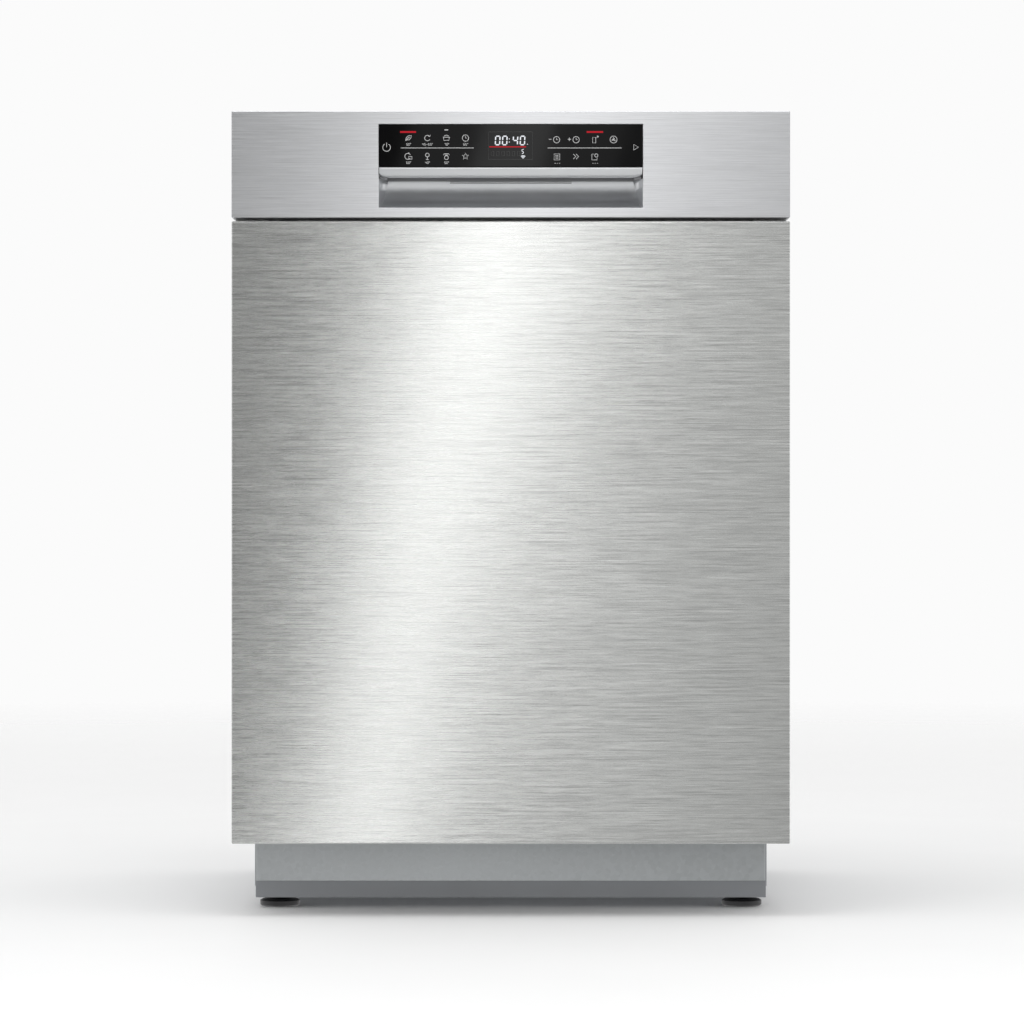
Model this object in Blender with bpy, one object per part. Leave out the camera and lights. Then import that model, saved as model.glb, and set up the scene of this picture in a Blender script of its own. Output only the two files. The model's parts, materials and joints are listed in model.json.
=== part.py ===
"""A 60 cm built-in dishwasher, 865 mm tall, as separate solids.

Metres, +Z up. The origin is on the floor under the middle of the machine and the door faces -Y.
Left and right are those of someone standing in front of the door, so left is -X.
"""

from itertools import product
from math import cos, pi, radians, sin

import bmesh
import bpy

# The whole machine
WIDTH = 0.598
DEPTH = 0.573
HEIGHT = 0.865
FRONT = -DEPTH / 2
BACK = DEPTH / 2
GAP = 0.0003
SIDES = ((-1, "left"), (1, "right"))

# The door. Its sheets are measured from the front face backwards.
DOOR_BOTTOM = 0.0793
FASCIA_TOP = HEIGHT - 0.0015
FASCIA_BOTTOM = FASCIA_TOP - 0.114
PANEL_TOP = FASCIA_BOTTOM - 0.0037
PANEL_FRONT = FRONT + 0.002
SHEET = 0.0012
LINER_FRONT = FRONT + 0.042
LINER_BACK = LINER_FRONT + 0.001
DISH_BACK = LINER_BACK + 0.007
LINER_BOTTOM = 0.166
HINGE_Y = FRONT + 0.0245
HINGE_Z = 0.150

# The window in the fascia, with the control glass above the handle bar and the finger pocket below
WINDOW_X = 0.1415
WINDOW_TOP = FASCIA_TOP - 0.0139
WINDOW_BOTTOM = WINDOW_TOP - 0.0888
GLASS_BOTTOM = FASCIA_TOP - 0.0596
BAR_TOP = GLASS_BOTTOM - GAP
BAR_BOTTOM = BAR_TOP - 0.0107

# The wash tub
TUB_X = 0.268
TUB_WALL = 0.001
TUB_FRONT = FRONT + 0.051
TUB_BACK = 0.2625
TUB_FLOOR = 0.172
TUB_ROOF = 0.838
RUNNER_TOP = TUB_FLOOR + 0.008
WELL = (0.025, -0.010)
WELL_RADIUS = 0.125
WELL_FLOOR = 0.151
ARM_HUB = (0.0, 0.015)
FILTER = (0.075, -0.055)
FILTER_RADIUS = 0.045
SALT = (-0.175, 0.115)

# The base under the tub
TRAY_X = 0.280
TRAY_FRONT = -0.180
TRAY_BACK = 0.2765
TRAY_BOTTOM = 0.0115
TRAY_TOP = 0.168
TRAY_WALL = 0.003
FRONT_FOOT = (0.255, -0.150)
REAR_FOOT = (0.0, 0.235)

# The racks
WIRE = 0.004
WHEEL_RADIUS = 0.0197
WHEEL_Z = RUNNER_TOP + GAP + WHEEL_RADIUS
WHEELS_Y = ((-0.100, "front"), (0.180, "rear"))
LOWER_FLOOR = 0.217
UPPER_FLOOR = 0.522
RAIL_Z = 0.605
DRAWER_FLOOR = 0.758


# ---------------------------------------------------------------- helpers


def material(name, colour, roughness, metallic=0.0):
    made = bpy.data.materials.new(name)
    made.use_nodes = True
    surface = made.node_tree.nodes["Principled BSDF"]
    surface.inputs["Base Color"].default_value = (*colour, 1.0)
    surface.inputs["Roughness"].default_value = roughness
    surface.inputs["Metallic"].default_value = metallic
    return made


def solid(name, bm, finish):
    """The named object of a bmesh, with its faces pointing out."""
    bmesh.ops.recalc_face_normals(bm, faces=bm.faces)
    mesh = bpy.data.meshes.new(name)
    bm.to_mesh(mesh)
    bm.free()
    mesh.materials.append(finish)
    mesh.shade_smooth()
    mesh.set_sharp_from_angle(angle=radians(30))
    body = bpy.data.objects.new(name, mesh)
    bpy.context.scene.collection.objects.link(body)
    return body


def prism(name, outline, axis, span, finish):
    """A flat outline drawn out along an axis. Its two numbers are the other axes, in X, Y, Z order."""
    place = {
        "X": lambda u, v, w: (w, u, v),
        "Y": lambda u, v, w: (u, w, v),
        "Z": lambda u, v, w: (u, v, w),
    }[axis]
    bm = bmesh.new()
    low = [bm.verts.new(place(u, v, span[0])) for u, v in outline]
    high = [bm.verts.new(place(u, v, span[1])) for u, v in outline]
    bm.faces.new(low)
    bm.faces.new(reversed(high))
    for i, start in enumerate(low):
        after = (i + 1) % len(low)
        bm.faces.new((start, low[after], high[after], high[i]))
    return solid(name, bm, finish)


def box(name, x, y, z, finish):
    return prism(name, [(x[0], y[0]), (x[1], y[0]), (x[1], y[1]), (x[0], y[1])], "Z", z, finish)


def arc(centre, radius, start, end, steps):
    """Points on an arc, from one angle to another, in degrees."""
    angles = [radians(start + (end - start) * i / steps) for i in range(steps + 1)]
    return [(centre[0] + radius * cos(a), centre[1] + radius * sin(a)) for a in angles]


def circle(centre, radius, sides):
    return arc(centre, radius, 0, 360 - 360 / sides, sides - 1)


def rounded(low, high, radius, steps=4):
    """A rectangle with round corners."""
    (x0, y0), (x1, y1) = low, high
    corners = (
        ((x1 - radius, y0 + radius), -90),
        ((x1 - radius, y1 - radius), 0),
        ((x0 + radius, y1 - radius), 90),
        ((x0 + radius, y0 + radius), 180),
    )
    return [p for centre, start in corners for p in arc(centre, radius, start, start + 90, steps)]


def disc(name, centre, radius, axis, span, finish, sides=16):
    return prism(name, circle(centre, radius, sides), axis, span, finish)


def apply(body, modifier):
    with bpy.context.temp_override(object=body):
        bpy.ops.object.modifier_apply(modifier=modifier.name)


def combine(body, operation, tools):
    for tool in tools:
        step = body.modifiers.new(operation, "BOOLEAN")
        step.operation = operation
        step.solver = "EXACT"
        step.object = tool
        apply(body, step)
        bpy.data.objects.remove(tool)
    return body


def unite(body, *tools):
    return combine(body, "UNION", tools)


def cut(body, *tools):
    return combine(body, "DIFFERENCE", tools)


def mirrored(side, low, high):
    """A span in X on the left or right side, given as on the right."""
    return tuple(sorted((side * low, side * high)))


def bricks(name, boxes, finish):
    """The union of boxes, each given as its spans in X, Y and Z."""
    cuts = [sorted({round(edge, 5) for block in boxes for edge in block[axis]}) for axis in range(3)]
    filled = set()
    for block in boxes:
        spans = []
        for axis in range(3):
            low, high = (cuts[axis].index(round(edge, 5)) for edge in block[axis])
            spans.append(range(low, high))
        filled.update(product(*spans))
    bm = bmesh.new()
    corners = {}

    def corner(cell):
        if cell not in corners:
            corners[cell] = bm.verts.new([cuts[axis][cell[axis]] for axis in range(3)])
        return corners[cell]

    for cell in sorted(filled):
        for axis in range(3):
            for end in (0, 1):
                beside = list(cell)
                beside[axis] += 2 * end - 1
                if tuple(beside) in filled:
                    continue
                ring = []
                for u, v in ((0, 0), (1, 0), (1, 1), (0, 1)):
                    place = list(cell)
                    place[axis] += end
                    place[(axis + 1) % 3] += u
                    place[(axis + 2) % 3] += v
                    ring.append(corner(tuple(place)))
                bm.faces.new(ring)
    bmesh.ops.recalc_face_normals(bm, faces=bm.faces)
    bmesh.ops.dissolve_limit(bm, angle_limit=radians(1), verts=bm.verts, edges=bm.edges)
    return solid(name, bm, finish)


def tray_wires(x, y, z, cells, bar):
    """The bars of an open basket. x, y and z run between the middles of its outer bars."""
    half = bar / 2
    columns, rows = cells
    lines_x = [x[0] + (x[1] - x[0]) * i / columns for i in range(columns + 1)]
    lines_y = [y[0] + (y[1] - y[0]) * j / rows for j in range(rows + 1)]
    whole_x, whole_y = (x[0] - half, x[1] + half), (y[0] - half, y[1] + half)

    def around(middle):
        return (middle - half, middle + half)

    bars = [(around(line), whole_y, around(z[0])) for line in lines_x]
    bars += [(whole_x, around(line), around(z[0])) for line in lines_y]
    posts = [(line, edge) for line in lines_x for edge in y]
    posts += [(edge, line) for line in lines_y for edge in x]
    bars += [(around(across), around(along), (z[0] - half, z[1] + half)) for across, along in posts]
    for level in z:
        bars += [(whole_x, around(edge), around(level)) for edge in y]
        bars += [(around(edge), whole_y, around(level)) for edge in x]
    return bars


def comb(name, axis, base, span, height, tines, finish):
    """A row of upright tines on a straight bar. base is the bar's middle across and up."""
    half = WIRE / 2
    across, up = base
    outline = [(span[0], up - half), (span[1], up - half)]
    pitch = (span[1] - span[0] - WIRE) / (tines - 1)
    for i in reversed(range(tines)):
        left = span[0] + pitch * i
        right = left + WIRE
        outline += [(right, up + half), (right, up + height), (left, up + height), (left, up + half)]
    outline = outline[:2] + outline[3:-1]
    return prism(name, outline, axis, (across - half, across + half), finish)


def spray_arm(name, centre, reach, z, finish):
    """A flat hollow-looking arm, broad at its round hub and narrow at both ends."""
    root, tip = 0.024, 0.013
    x, y = centre
    outline = [
        *arc((x + reach - tip, y), tip, -80, 80, 4),
        *arc((x, y), root, 70, 110, 2),
        *arc((x - reach + tip, y), tip, 100, 260, 4),
        *arc((x, y), root, 250, 290, 2),
    ]
    arm = prism(name, outline, "Z", z, finish)
    hub_height = 0.004
    return unite(arm, disc("hub", centre, 0.029, "Z", (z[0] + 0.002, z[1] + hub_height), finish, 20))


# ---------------------------------------------------------------- base and feet


def make_base(look):
    tray = box("base_tray", (-TRAY_X, TRAY_X), (TRAY_FRONT, TRAY_BACK), (TRAY_BOTTOM, TRAY_TOP), look["grey"])
    inside = TRAY_WALL
    cut(
        tray,
        box(
            "hollow",
            (-TRAY_X + inside, TRAY_X - inside),
            (TRAY_FRONT + inside, TRAY_BACK - inside),
            (TRAY_BOTTOM + inside, HEIGHT),
            look["grey"],
        ),
    )
    socket_radius, stud_hole, socket_top = 0.012, 0.0070, 0.100
    feet = [(-FRONT_FOOT[0], FRONT_FOOT[1]), FRONT_FOOT, REAR_FOOT]
    for spot in feet:
        socket = disc("socket", spot, socket_radius, "Z", (TRAY_BOTTOM + 0.001, socket_top), look["grey"], 12)
        unite(tray, socket)
    for spot in feet:
        cut(tray, disc("stud_hole", spot, stud_hole, "Z", (0, socket_top + 0.01), look["grey"], 12))
    tab_y, tab_reach, tab_half = 0.186, 0.011, 0.008
    for side, _ in SIDES:
        x = mirrored(side, TRAY_X - 0.001, TRAY_X + tab_reach)
        tab = box("tab", x, (tab_y, tab_y + 0.004), (HINGE_Z - tab_half, HINGE_Z + tab_half), look["grey"])
        unite(tray, tab)
    hose_x, hose_z, hose_half = 0.215, 0.055, 0.024
    for side, _ in SIDES:
        port = disc("port", (side * hose_x, hose_z), hose_half, "Y", (TRAY_BACK - 0.02, BACK), look["grey"])
        cut(tray, port)

    plate_front = TRAY_FRONT - 0.004
    plate = box("kick_plate", (-0.279, 0.279), (plate_front, TRAY_FRONT - GAP), (0.030, 0.146), look["galvanised"])
    cut(
        plate,
        box("hollow", (-0.278, 0.278), (plate_front + 0.001, 0), (0.031, 0.145), look["galvanised"]),
    )

    disc_top, stud_radius, stud_top = 0.010, 0.0058, 0.092
    for spot, name in zip(feet, ("foot_front_left", "foot_front_right", "foot_rear")):
        foot = disc(name, spot, 0.022, "Z", (0, disc_top), look["black"], 20)
        unite(foot, disc("stud", spot, stud_radius, "Z", (disc_top - 0.002, stud_top), look["black"], 12))


def make_hydraulics(look):
    """The sump and what hangs from it, in the base."""
    cup_radius, cup_bottom, top = 0.053, 0.080, WELL_FLOOR - 0.001 - GAP
    sump = disc("sump", FILTER, cup_radius, "Z", (cup_bottom, top), look["grey"], 24)
    bridge = box("bridge", (-0.020, FILTER[0]), (-0.060, 0.035), (0.122, top), look["grey"])
    column = disc("column", ARM_HUB, 0.0135, "Z", (0.118, 0.1850), look["grey"], 16)
    unite(sump, bridge, column)
    cut(sump, disc("cup", FILTER, 0.0485, "Z", (cup_bottom + 0.004, HEIGHT), look["grey"], 24))

    pump_z, pump_radius = 0.100, 0.040
    pump_start = FILTER[0] + cup_radius + GAP
    neck = disc("circulation_pump", (FILTER[1], pump_z), 0.020, "X", (pump_start, 0.150), look["black"], 16)
    motor = disc("motor", (FILTER[1], pump_z), pump_radius, "X", (0.145, 0.235), look["black"], 20)
    volute = disc("volute", (FILTER[1], pump_z), 0.034, "X", (0.233, 0.258), look["black"], 16)
    unite(neck, motor, volute)

    drain_end = FILTER[1] - cup_radius - GAP
    drain = disc("drain_pump", (FILTER[0], pump_z), 0.014, "Y", (-0.130, drain_end), look["black"], 12)
    unite(drain, disc("motor", (FILTER[0], pump_z), 0.024, "Y", (-0.172, -0.128), look["black"], 16))

    tank_top = 0.112
    softener = box("water_softener", (-0.240, -0.110), (0.030, 0.200), (0.018, tank_top), look["white"])
    neck = disc("neck", SALT, 0.030, "Z", (tank_top - 0.002, TUB_FLOOR - TUB_WALL - GAP), look["white"], 20)
    unite(softener, neck)
    cut(softener, disc("bore", SALT, 0.0245, "Z", (tank_top, HEIGHT), look["white"], 20))

    tank_x = mirrored(-1, TUB_X + 0.0035, WIDTH / 2 - 0.0045)
    tank = box("heat_exchanger", tank_x, (-0.150, 0.220), (0.250, 0.740), look["white"])
    groove_depth = 0.004
    for z in (0.350, 0.450, 0.550, 0.650):
        x = (tank_x[0] - 0.001, tank_x[0] + groove_depth)
        cut(tank, box("groove", x, (-0.130, 0.240), (z, z + 0.010), look["white"]))

    valve = box("inlet_valve", (-0.250, -0.190), (0.215, 0.255), (0.030, 0.080), look["white"])
    unite(valve, disc("coil", (-0.220, 0.235), 0.014, "Z", (0.078, 0.115), look["white"], 16))
    unite(valve, disc("thread", (-0.215, 0.055), 0.0125, "Y", (0.250, 0.2845), look["white"], 16))


# ---------------------------------------------------------------- tub and chassis


def make_tub(look):
    """The steel wash tub: a deep-drawn box, open to the front, with a flange round its mouth."""
    corner, wall = 0.025, TUB_WALL
    steel = look["stainless"]
    outer = rounded((-TUB_X - wall, TUB_FLOOR - wall), (TUB_X + wall, TUB_ROOF + wall), corner)
    inner = rounded((-TUB_X, TUB_FLOOR), (TUB_X, TUB_ROOF), corner - wall)
    tub = prism("tub", outer, "Y", (TUB_FRONT, TUB_BACK + wall), steel)
    flange = box("flange", (-0.288, 0.288), (TUB_FRONT, TUB_FRONT + wall), (TUB_FLOOR - wall, 0.858), steel)
    well = disc("well", WELL, WELL_RADIUS, "Z", (WELL_FLOOR - wall, TUB_FLOOR - wall / 2), steel, 32)
    unite(tub, flange, well)
    cut(tub, prism("cavity", inner, "Y", (FRONT, TUB_BACK), steel))
    cut(tub, disc("well_cavity", WELL, WELL_RADIUS - wall, "Z", (WELL_FLOOR, TUB_FLOOR + 0.004), steel, 32))
    runner_y, runner_z = (TUB_FRONT + 0.010, TUB_BACK - 0.006), (TUB_FLOOR - wall / 2, RUNNER_TOP)
    for side, _ in SIDES:
        unite(tub, box("runner", mirrored(side, TUB_X - 0.025, TUB_X + wall / 2), runner_y, runner_z, steel))
    through = (0.100, 0.176)
    cut(
        tub,
        disc("filter_hole", FILTER, FILTER_RADIUS + 0.0015, "Z", through, steel, 24),
        disc("hub_hole", ARM_HUB, 0.0145, "Z", through, steel, 16),
        disc("salt_hole", SALT, 0.0260, "Z", through, steel, 20),
    )


def make_seal(look):
    """The rubber round the tub's mouth: up one side, over the top and down the other."""
    outer_x, inner_x, outer_z, inner_z = 0.2825, 0.2705, 0.8525, 0.8405
    corner, bottom = 0.030, 0.176
    inner_corner = corner - (outer_x - inner_x)
    outer = [(outer_x, bottom), *arc((outer_x - corner, outer_z - corner), corner, 0, 90, 4)]
    outer += [*arc((corner - outer_x, outer_z - corner), corner, 90, 180, 4), (-outer_x, bottom)]
    centre_x = inner_x - inner_corner
    inner = [(-inner_x, bottom), *arc((-centre_x, inner_z - inner_corner), inner_corner, 180, 90, 4)]
    inner += [*arc((centre_x, inner_z - inner_corner), inner_corner, 90, 0, 4), (inner_x, bottom)]
    prism("tub_seal", outer + inner, "Y", (LINER_BACK + GAP, TUB_FRONT - GAP), look["rubber"])


def make_chassis(look):
    sheet = 0.001
    metal = look["galvanised"]
    panel_x = WIDTH / 2 - 0.001
    panel_y = (-0.225, TRAY_BACK + 0.0065)
    panel_z = (0.100, FASCIA_TOP)
    fold = 0.009
    for side, word in SIDES:
        panel = box("side_panel_" + word, mirrored(side, panel_x - fold, panel_x), panel_y, panel_z, metal)
        hollow = box(
            "hollow",
            mirrored(side, 0, panel_x - sheet),
            (panel_y[0] + sheet, panel_y[1] - sheet),
            (panel_z[0] + sheet, panel_z[1] - sheet),
            metal,
        )
        notch = box("notch", mirrored(side, 0.280, panel_x - sheet), (-0.240, -0.200), (0.090, 0.215), metal)
        door_room = box("door_room", mirrored(side, 0.280, 0.300), (-0.240, -0.184), (0.090, 0.152), metal)
        cut(panel, hollow, notch, door_room)
        bead_x, bead_y = mirrored(side, panel_x - sheet / 2, panel_x + 0.0008), (-0.180, 0.240)
        for z in (0.240, 0.440, 0.640):
            unite(panel, box("bead", bead_x, bead_y, (z, z + 0.014), metal))

    rear = box("rear_panel", (-0.287, 0.287), (0.2785, 0.2795), (0.170, 0.800), metal)
    for z in (0.300, 0.520, 0.740):
        unite(rear, box("bead", (-0.260, 0.260), (0.279, BACK), (z, z + 0.018), metal))

    brace_y, brace_z = (TUB_FRONT + 0.0035, -0.195), (0.8605, HEIGHT - 0.0015)
    brace = box("top_brace", (-0.2887, 0.2887), brace_y, brace_z, metal)
    cut(brace, box("channel", (-0.2867, 0.2867), (brace_y[0] + 0.0015, 0), (0, brace_z[1] - 0.0015), metal))
    tongue = box("tongue", (-0.010, 0.010), (-0.258, brace_y[0] + 0.001), (0.8608, 0.8620), metal)
    unite(brace, tongue)
    for side, _ in SIDES:
        tab = box("tab", mirrored(side, 0.190, 0.230), (-0.228, -0.180), (brace_z[1] - 0.001, HEIGHT), metal)
        unite(brace, tab)

    mat_y = (-0.190, 0.255)
    box("top_insulation", (-0.260, 0.260), mat_y, (TUB_ROOF + TUB_WALL + GAP, 0.852), look["felt"])


def make_water_path(look):
    """The pipe up the tub's back wall and along its roof, to the fixed shower head."""
    lip = GAP
    back, roof = TUB_BACK - lip, TUB_ROOF - lip
    front = 0.248
    outline = [(back, 0.185), (back, roof), (0.030, roof), (0.030, 0.826), (front, 0.826), (front, 0.185)]
    pipe = prism("feed_pipe", outline, "X", (-0.021, 0.021), look["grey"])
    unite(pipe, disc("shower_head", (0.0, 0.050), 0.030, "Z", (0.813, 0.829), look["grey"], 20))
    unite(pipe, disc("outlet", (0.0, 0.513), 0.009, "Y", (0.2445, 0.252), look["grey"], 12))

    plate_z = (WELL_FLOOR + GAP, WELL_FLOOR + 0.002)
    plate = disc("filter_plate", WELL, WELL_RADIUS - 0.003, "Z", plate_z, look["stainless"], 28)
    cut(
        plate,
        disc("filter_hole", FILTER, FILTER_RADIUS + 0.0015, "Z", (0.1, 0.2), look["stainless"], 24),
        disc("hub_hole", ARM_HUB, 0.0145, "Z", (0.1, 0.2), look["stainless"], 16),
    )

    strainer = disc("filter_cylinder", FILTER, FILTER_RADIUS, "Z", (0.088, 0.170), look["grey"], 24)
    cut(strainer, disc("bowl", FILTER, 0.040, "Z", (0.130, 0.180), look["grey"], 24))
    grip_x = (FILTER[0] - 0.0405, FILTER[0] + 0.0405)
    unite(strainer, box("grip", grip_x, (FILTER[1] - 0.003, FILTER[1] + 0.003), (0.128, 0.178), look["grey"]))

    cap = disc("salt_cap", SALT, 0.031, "Z", (TUB_FLOOR + GAP, 0.182), look["grey"], 20)
    unite(cap, disc("plug", SALT, 0.0215, "Z", (0.155, TUB_FLOOR + 0.001), look["grey"], 20))
    grip_x, grip_y = (SALT[0] - 0.024, SALT[0] + 0.024), (SALT[1] - 0.003, SALT[1] + 0.003)
    unite(cap, box("grip", grip_x, grip_y, (0.181, 0.1855), look["grey"]))

    spray_arm("lower_spray_arm", ARM_HUB, 0.215, (0.1875, 0.2040), look["grey"])


# ---------------------------------------------------------------- hinges


def make_hinges(look):
    axis = (HINGE_Y, HINGE_Z)
    steel = look["spring_steel"]
    eye, pin, plate = 0.0125, 0.0040, 0.003
    for side, word in SIDES:
        plate_x = mirrored(side, TRAY_X + GAP, TRAY_X + GAP + plate)
        outline = [
            (-0.110, 0.118),
            (-0.110, 0.166),
            (HINGE_Y, HINGE_Z + 0.0115),
            (HINGE_Y, HINGE_Z - 0.001),
            (-0.182, HINGE_Z - 0.001),
            (-0.170, 0.118),
        ]
        bracket = prism("hinge_bracket_" + word, outline, "X", plate_x, look["galvanised"])
        unite(bracket, disc("eye", axis, eye - 0.001, "X", plate_x, look["galvanised"], 20))
        unite(bracket, disc("pin", axis, pin, "X", mirrored(side, TRAY_X + 0.001, 0.2965), look["galvanised"], 12))

        arm_x = mirrored(side, 0.2925, 0.2955)
        arm = disc("hinge_arm_" + word, axis, eye, "X", arm_x, steel, 20)
        leg = box("leg", arm_x, (HINGE_Y - 0.011, HINGE_Y + 0.0145), (HINGE_Z, 0.360), steel)
        tail = box("tail", arm_x, (HINGE_Y, HINGE_Y + 0.045), (HINGE_Z - 0.007, HINGE_Z + 0.007), steel)
        unite(arm, leg, tail)
        cut(arm, disc("bore", axis, pin + 0.0005, "X", mirrored(side, 0.290, 0.300), steel, 12))
        make_spring("door_spring_" + word, side * 0.2885, steel)


def make_spring(name, x, finish):
    """The long tension spring that balances the door, with a straight rod to the hinge arm's tail."""
    wire, coil, turns, steps = 0.0010, 0.0055, 10, 8
    start, end = -0.020, 0.165
    rod_front, rod_back = HINGE_Y + 0.047, 0.1855
    points = [(x, rod_front, HINGE_Z), (x, start - 0.008, HINGE_Z)]
    for i in range(turns * steps + 1):
        angle = 2 * pi * i / steps
        along = start + (end - start) * i / (turns * steps)
        points.append((x + coil * cos(angle), along, HINGE_Z + coil * sin(angle)))
    points += [(x, end + 0.008, HINGE_Z), (x, rod_back, HINGE_Z)]
    data = bpy.data.curves.new(name, "CURVE")
    data.dimensions = "3D"
    data.bevel_depth = wire
    data.bevel_resolution = 0
    data.use_fill_caps = True
    line = data.splines.new("POLY")
    line.points.add(len(points) - 1)
    for place, spot in zip(line.points, points):
        place.co = (*spot, 1.0)
    data.materials.append(finish)
    bpy.context.scene.collection.objects.link(bpy.data.objects.new(name, data))


# ---------------------------------------------------------------- door


def make_door_shell(look):
    """The brushed outer panel, its padding and the pressed steel liner that faces the tub."""
    back = LINER_FRONT - GAP
    half = WIDTH / 2
    apron_back, step = PANEL_FRONT + 0.0185, 0.172
    profile = [
        (PANEL_FRONT, DOOR_BOTTOM),
        (apron_back, DOOR_BOTTOM),
        (apron_back, LINER_BOTTOM - 0.006),
        (back, step),
        (back, PANEL_TOP),
        (PANEL_FRONT, PANEL_TOP),
    ]
    panel = prism("door_panel", profile, "X", (-half, half), look["brushed"])
    hollow = box(
        "hollow",
        (-half + SHEET, half - SHEET),
        (PANEL_FRONT + SHEET, 0),
        (DOOR_BOTTOM + SHEET, PANEL_TOP - SHEET),
        look["brushed"],
    )
    cut(panel, hollow)

    pad_front = PANEL_FRONT + SHEET + GAP
    box("door_insulation", (-0.285, 0.285), (pad_front, pad_front + 0.006), (0.175, 0.735), look["felt"])

    liner_x, dish_x, dish_z, wall = 0.2975, 0.262, (0.180, 0.832), 0.001
    steel = look["stainless"]
    liner = box("door_liner", (-liner_x, liner_x), (LINER_FRONT, LINER_BACK), (LINER_BOTTOM, 0.8570), steel)
    unite(liner, box("dish", (-dish_x, dish_x), (LINER_FRONT, DISH_BACK), dish_z, steel))
    inside_x, inside_z = (wall - dish_x, dish_x - wall), (dish_z[0] + wall, dish_z[1] - wall)
    cut(liner, box("dish_hollow", inside_x, (FRONT, DISH_BACK - wall), inside_z, steel))
    cut(liner, box("dispenser_hole", (-0.095, 0.095), (FRONT, 0), (0.370, 0.480), steel))

    latch = box("door_latch", (-0.030, 0.030), (-0.272, back), (0.8355, 0.8618), look["black"])
    cut(latch, box("slot", (-0.012, 0.012), (-0.264, 0), (0.8560, HEIGHT), look["black"]))


def make_dispenser(look):
    """The detergent chamber with its sliding lid, and the rinse-aid filler with its flap."""
    face = DISH_BACK + 0.003
    body = box("dispenser_body", (-0.0945, 0.0945), (face - 0.041, face), (0.3705, 0.4795), look["grey"])
    chamber_x, chamber_z = (-0.070, 0.012), (0.405, 0.465)
    filler_x, filler_z = (0.036, 0.076), (0.420, 0.456)
    cut(
        body,
        box("chamber", chamber_x, (face - 0.036, 0), chamber_z, look["grey"]),
        box("filler", filler_x, (face - 0.020, 0), filler_z, look["grey"]),
    )
    lid_y = (face + GAP, face + 0.0025)
    margin = 0.007
    lid_x = (chamber_x[0] - margin, chamber_x[1] + margin)
    lid_z = (chamber_z[0] - margin, chamber_z[1] + margin)
    lid = box("dispenser_lid", lid_x, lid_y, lid_z, look["white"])
    unite(lid, box("grip", (-0.040, -0.018), (lid_y[1] - 0.001, lid_y[1] + 0.003), (0.456, 0.462), look["white"]))
    flap_x, flap_z = (filler_x[0] - 0.005, filler_x[1] + 0.005), (filler_z[0] - 0.005, filler_z[1] + 0.005)
    box("rinse_aid_cap", flap_x, lid_y, flap_z, look["white"])


def make_fascia(look):
    """The steel control panel and everything set in its window."""
    half = WIDTH / 2
    back = LINER_FRONT - GAP
    fascia = box("fascia", (-half, half), (FRONT, back), (FASCIA_BOTTOM, FASCIA_TOP), look["fascia"])
    hollow = box(
        "hollow",
        (-half + SHEET, half - SHEET),
        (FRONT + SHEET, 0),
        (FASCIA_BOTTOM + SHEET, FASCIA_TOP - SHEET),
        look["fascia"],
    )
    window = box("window", (-WINDOW_X, WINDOW_X), (FRONT - 0.01, 0), (WINDOW_BOTTOM, WINDOW_TOP), look["fascia"])
    cut(fascia, hollow, window)

    inside_x = WINDOW_X - GAP
    glass_y = (FRONT + 0.0015, FRONT + 0.0045)
    box("control_glass", (-inside_x, inside_x), glass_y, (GLASS_BOTTOM, WINDOW_TOP - GAP), look["black_glass"])
    display_y = (glass_y[1] + GAP, glass_y[1] + 0.0065)
    box("display_module", (-0.0225, 0.0225), display_y, (0.8095, 0.8395), look["display"])
    board_y = (display_y[1] + GAP, display_y[1] + 0.0019)
    board = box("control_board", (-0.135, 0.135), board_y, (0.8055, 0.8485), look["board"])
    parts_x = ((-0.120, -0.100), (-0.080, -0.066), (0.060, 0.085), (0.100, 0.118))
    for x in parts_x:
        unite(board, box("chip", x, (board_y[1] - 0.0005, board_y[1] + 0.004), (0.812, 0.828), look["board"]))

    make_handle(look, inside_x)


def make_handle(look, inside_x):
    """The grip bar across the window and the finger pocket behind and under it."""
    bar_front, bar_back, belly = FRONT + 0.0003, FRONT + 0.0145, 0.0045
    middle, half = (BAR_TOP + BAR_BOTTOM) / 2, (BAR_TOP - BAR_BOTTOM) / 2
    nose = []
    for angle in range(-90, 91, 20):
        nose.append((bar_front + belly - belly * cos(radians(angle)), middle + half * sin(radians(angle))))
    bar_end = inside_x - 0.0004
    prism("handle_bar", [*nose, (bar_back, BAR_TOP), (bar_back, BAR_BOTTOM)], "X", (-bar_end, bar_end), look["silver"])

    skin = 0.0015
    lip_y, lip_z = FRONT + 0.0015, WINDOW_BOTTOM + GAP
    deep_y, roof_z = FRONT + 0.0335, BAR_TOP - 0.003
    roof_front = bar_back + GAP + 0.001
    bowl_top, bowl_steps = roof_z - 0.014, 5
    bowl = []
    for i in range(1, bowl_steps + 1):
        angle = pi / 2 * i / bowl_steps
        bowl.append((lip_y + (deep_y - lip_y) * sin(angle), bowl_top - (bowl_top - lip_z) * cos(angle)))
    inner = [(lip_y, lip_z + skin), *bowl, (deep_y, roof_z), (roof_front, roof_z)]
    outer = [(roof_front, roof_z + skin), (deep_y + skin, roof_z + skin)]
    outer += [(y + skin * 0.6, z - skin * 0.9) for y, z in reversed(bowl)]
    shell = prism("handle_shell", [*inner, *outer, (lip_y, lip_z)], "X", (-inside_x, inside_x), look["silver"])
    bite, under_bar = 0.0002, BAR_BOTTOM - 0.0008
    side = [(lip_y, lip_z), *[(y, z - bite) for y, z in bowl], (deep_y, roof_z + bite)]
    side += [(roof_front + bite, roof_z + bite), (roof_front + bite, under_bar), (lip_y, under_bar)]
    for direction, _ in SIDES:
        unite(shell, prism("end", side, "X", mirrored(direction, inside_x - skin, inside_x), look["silver"]))


# ---------------------------------------------------------------- racks


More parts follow.
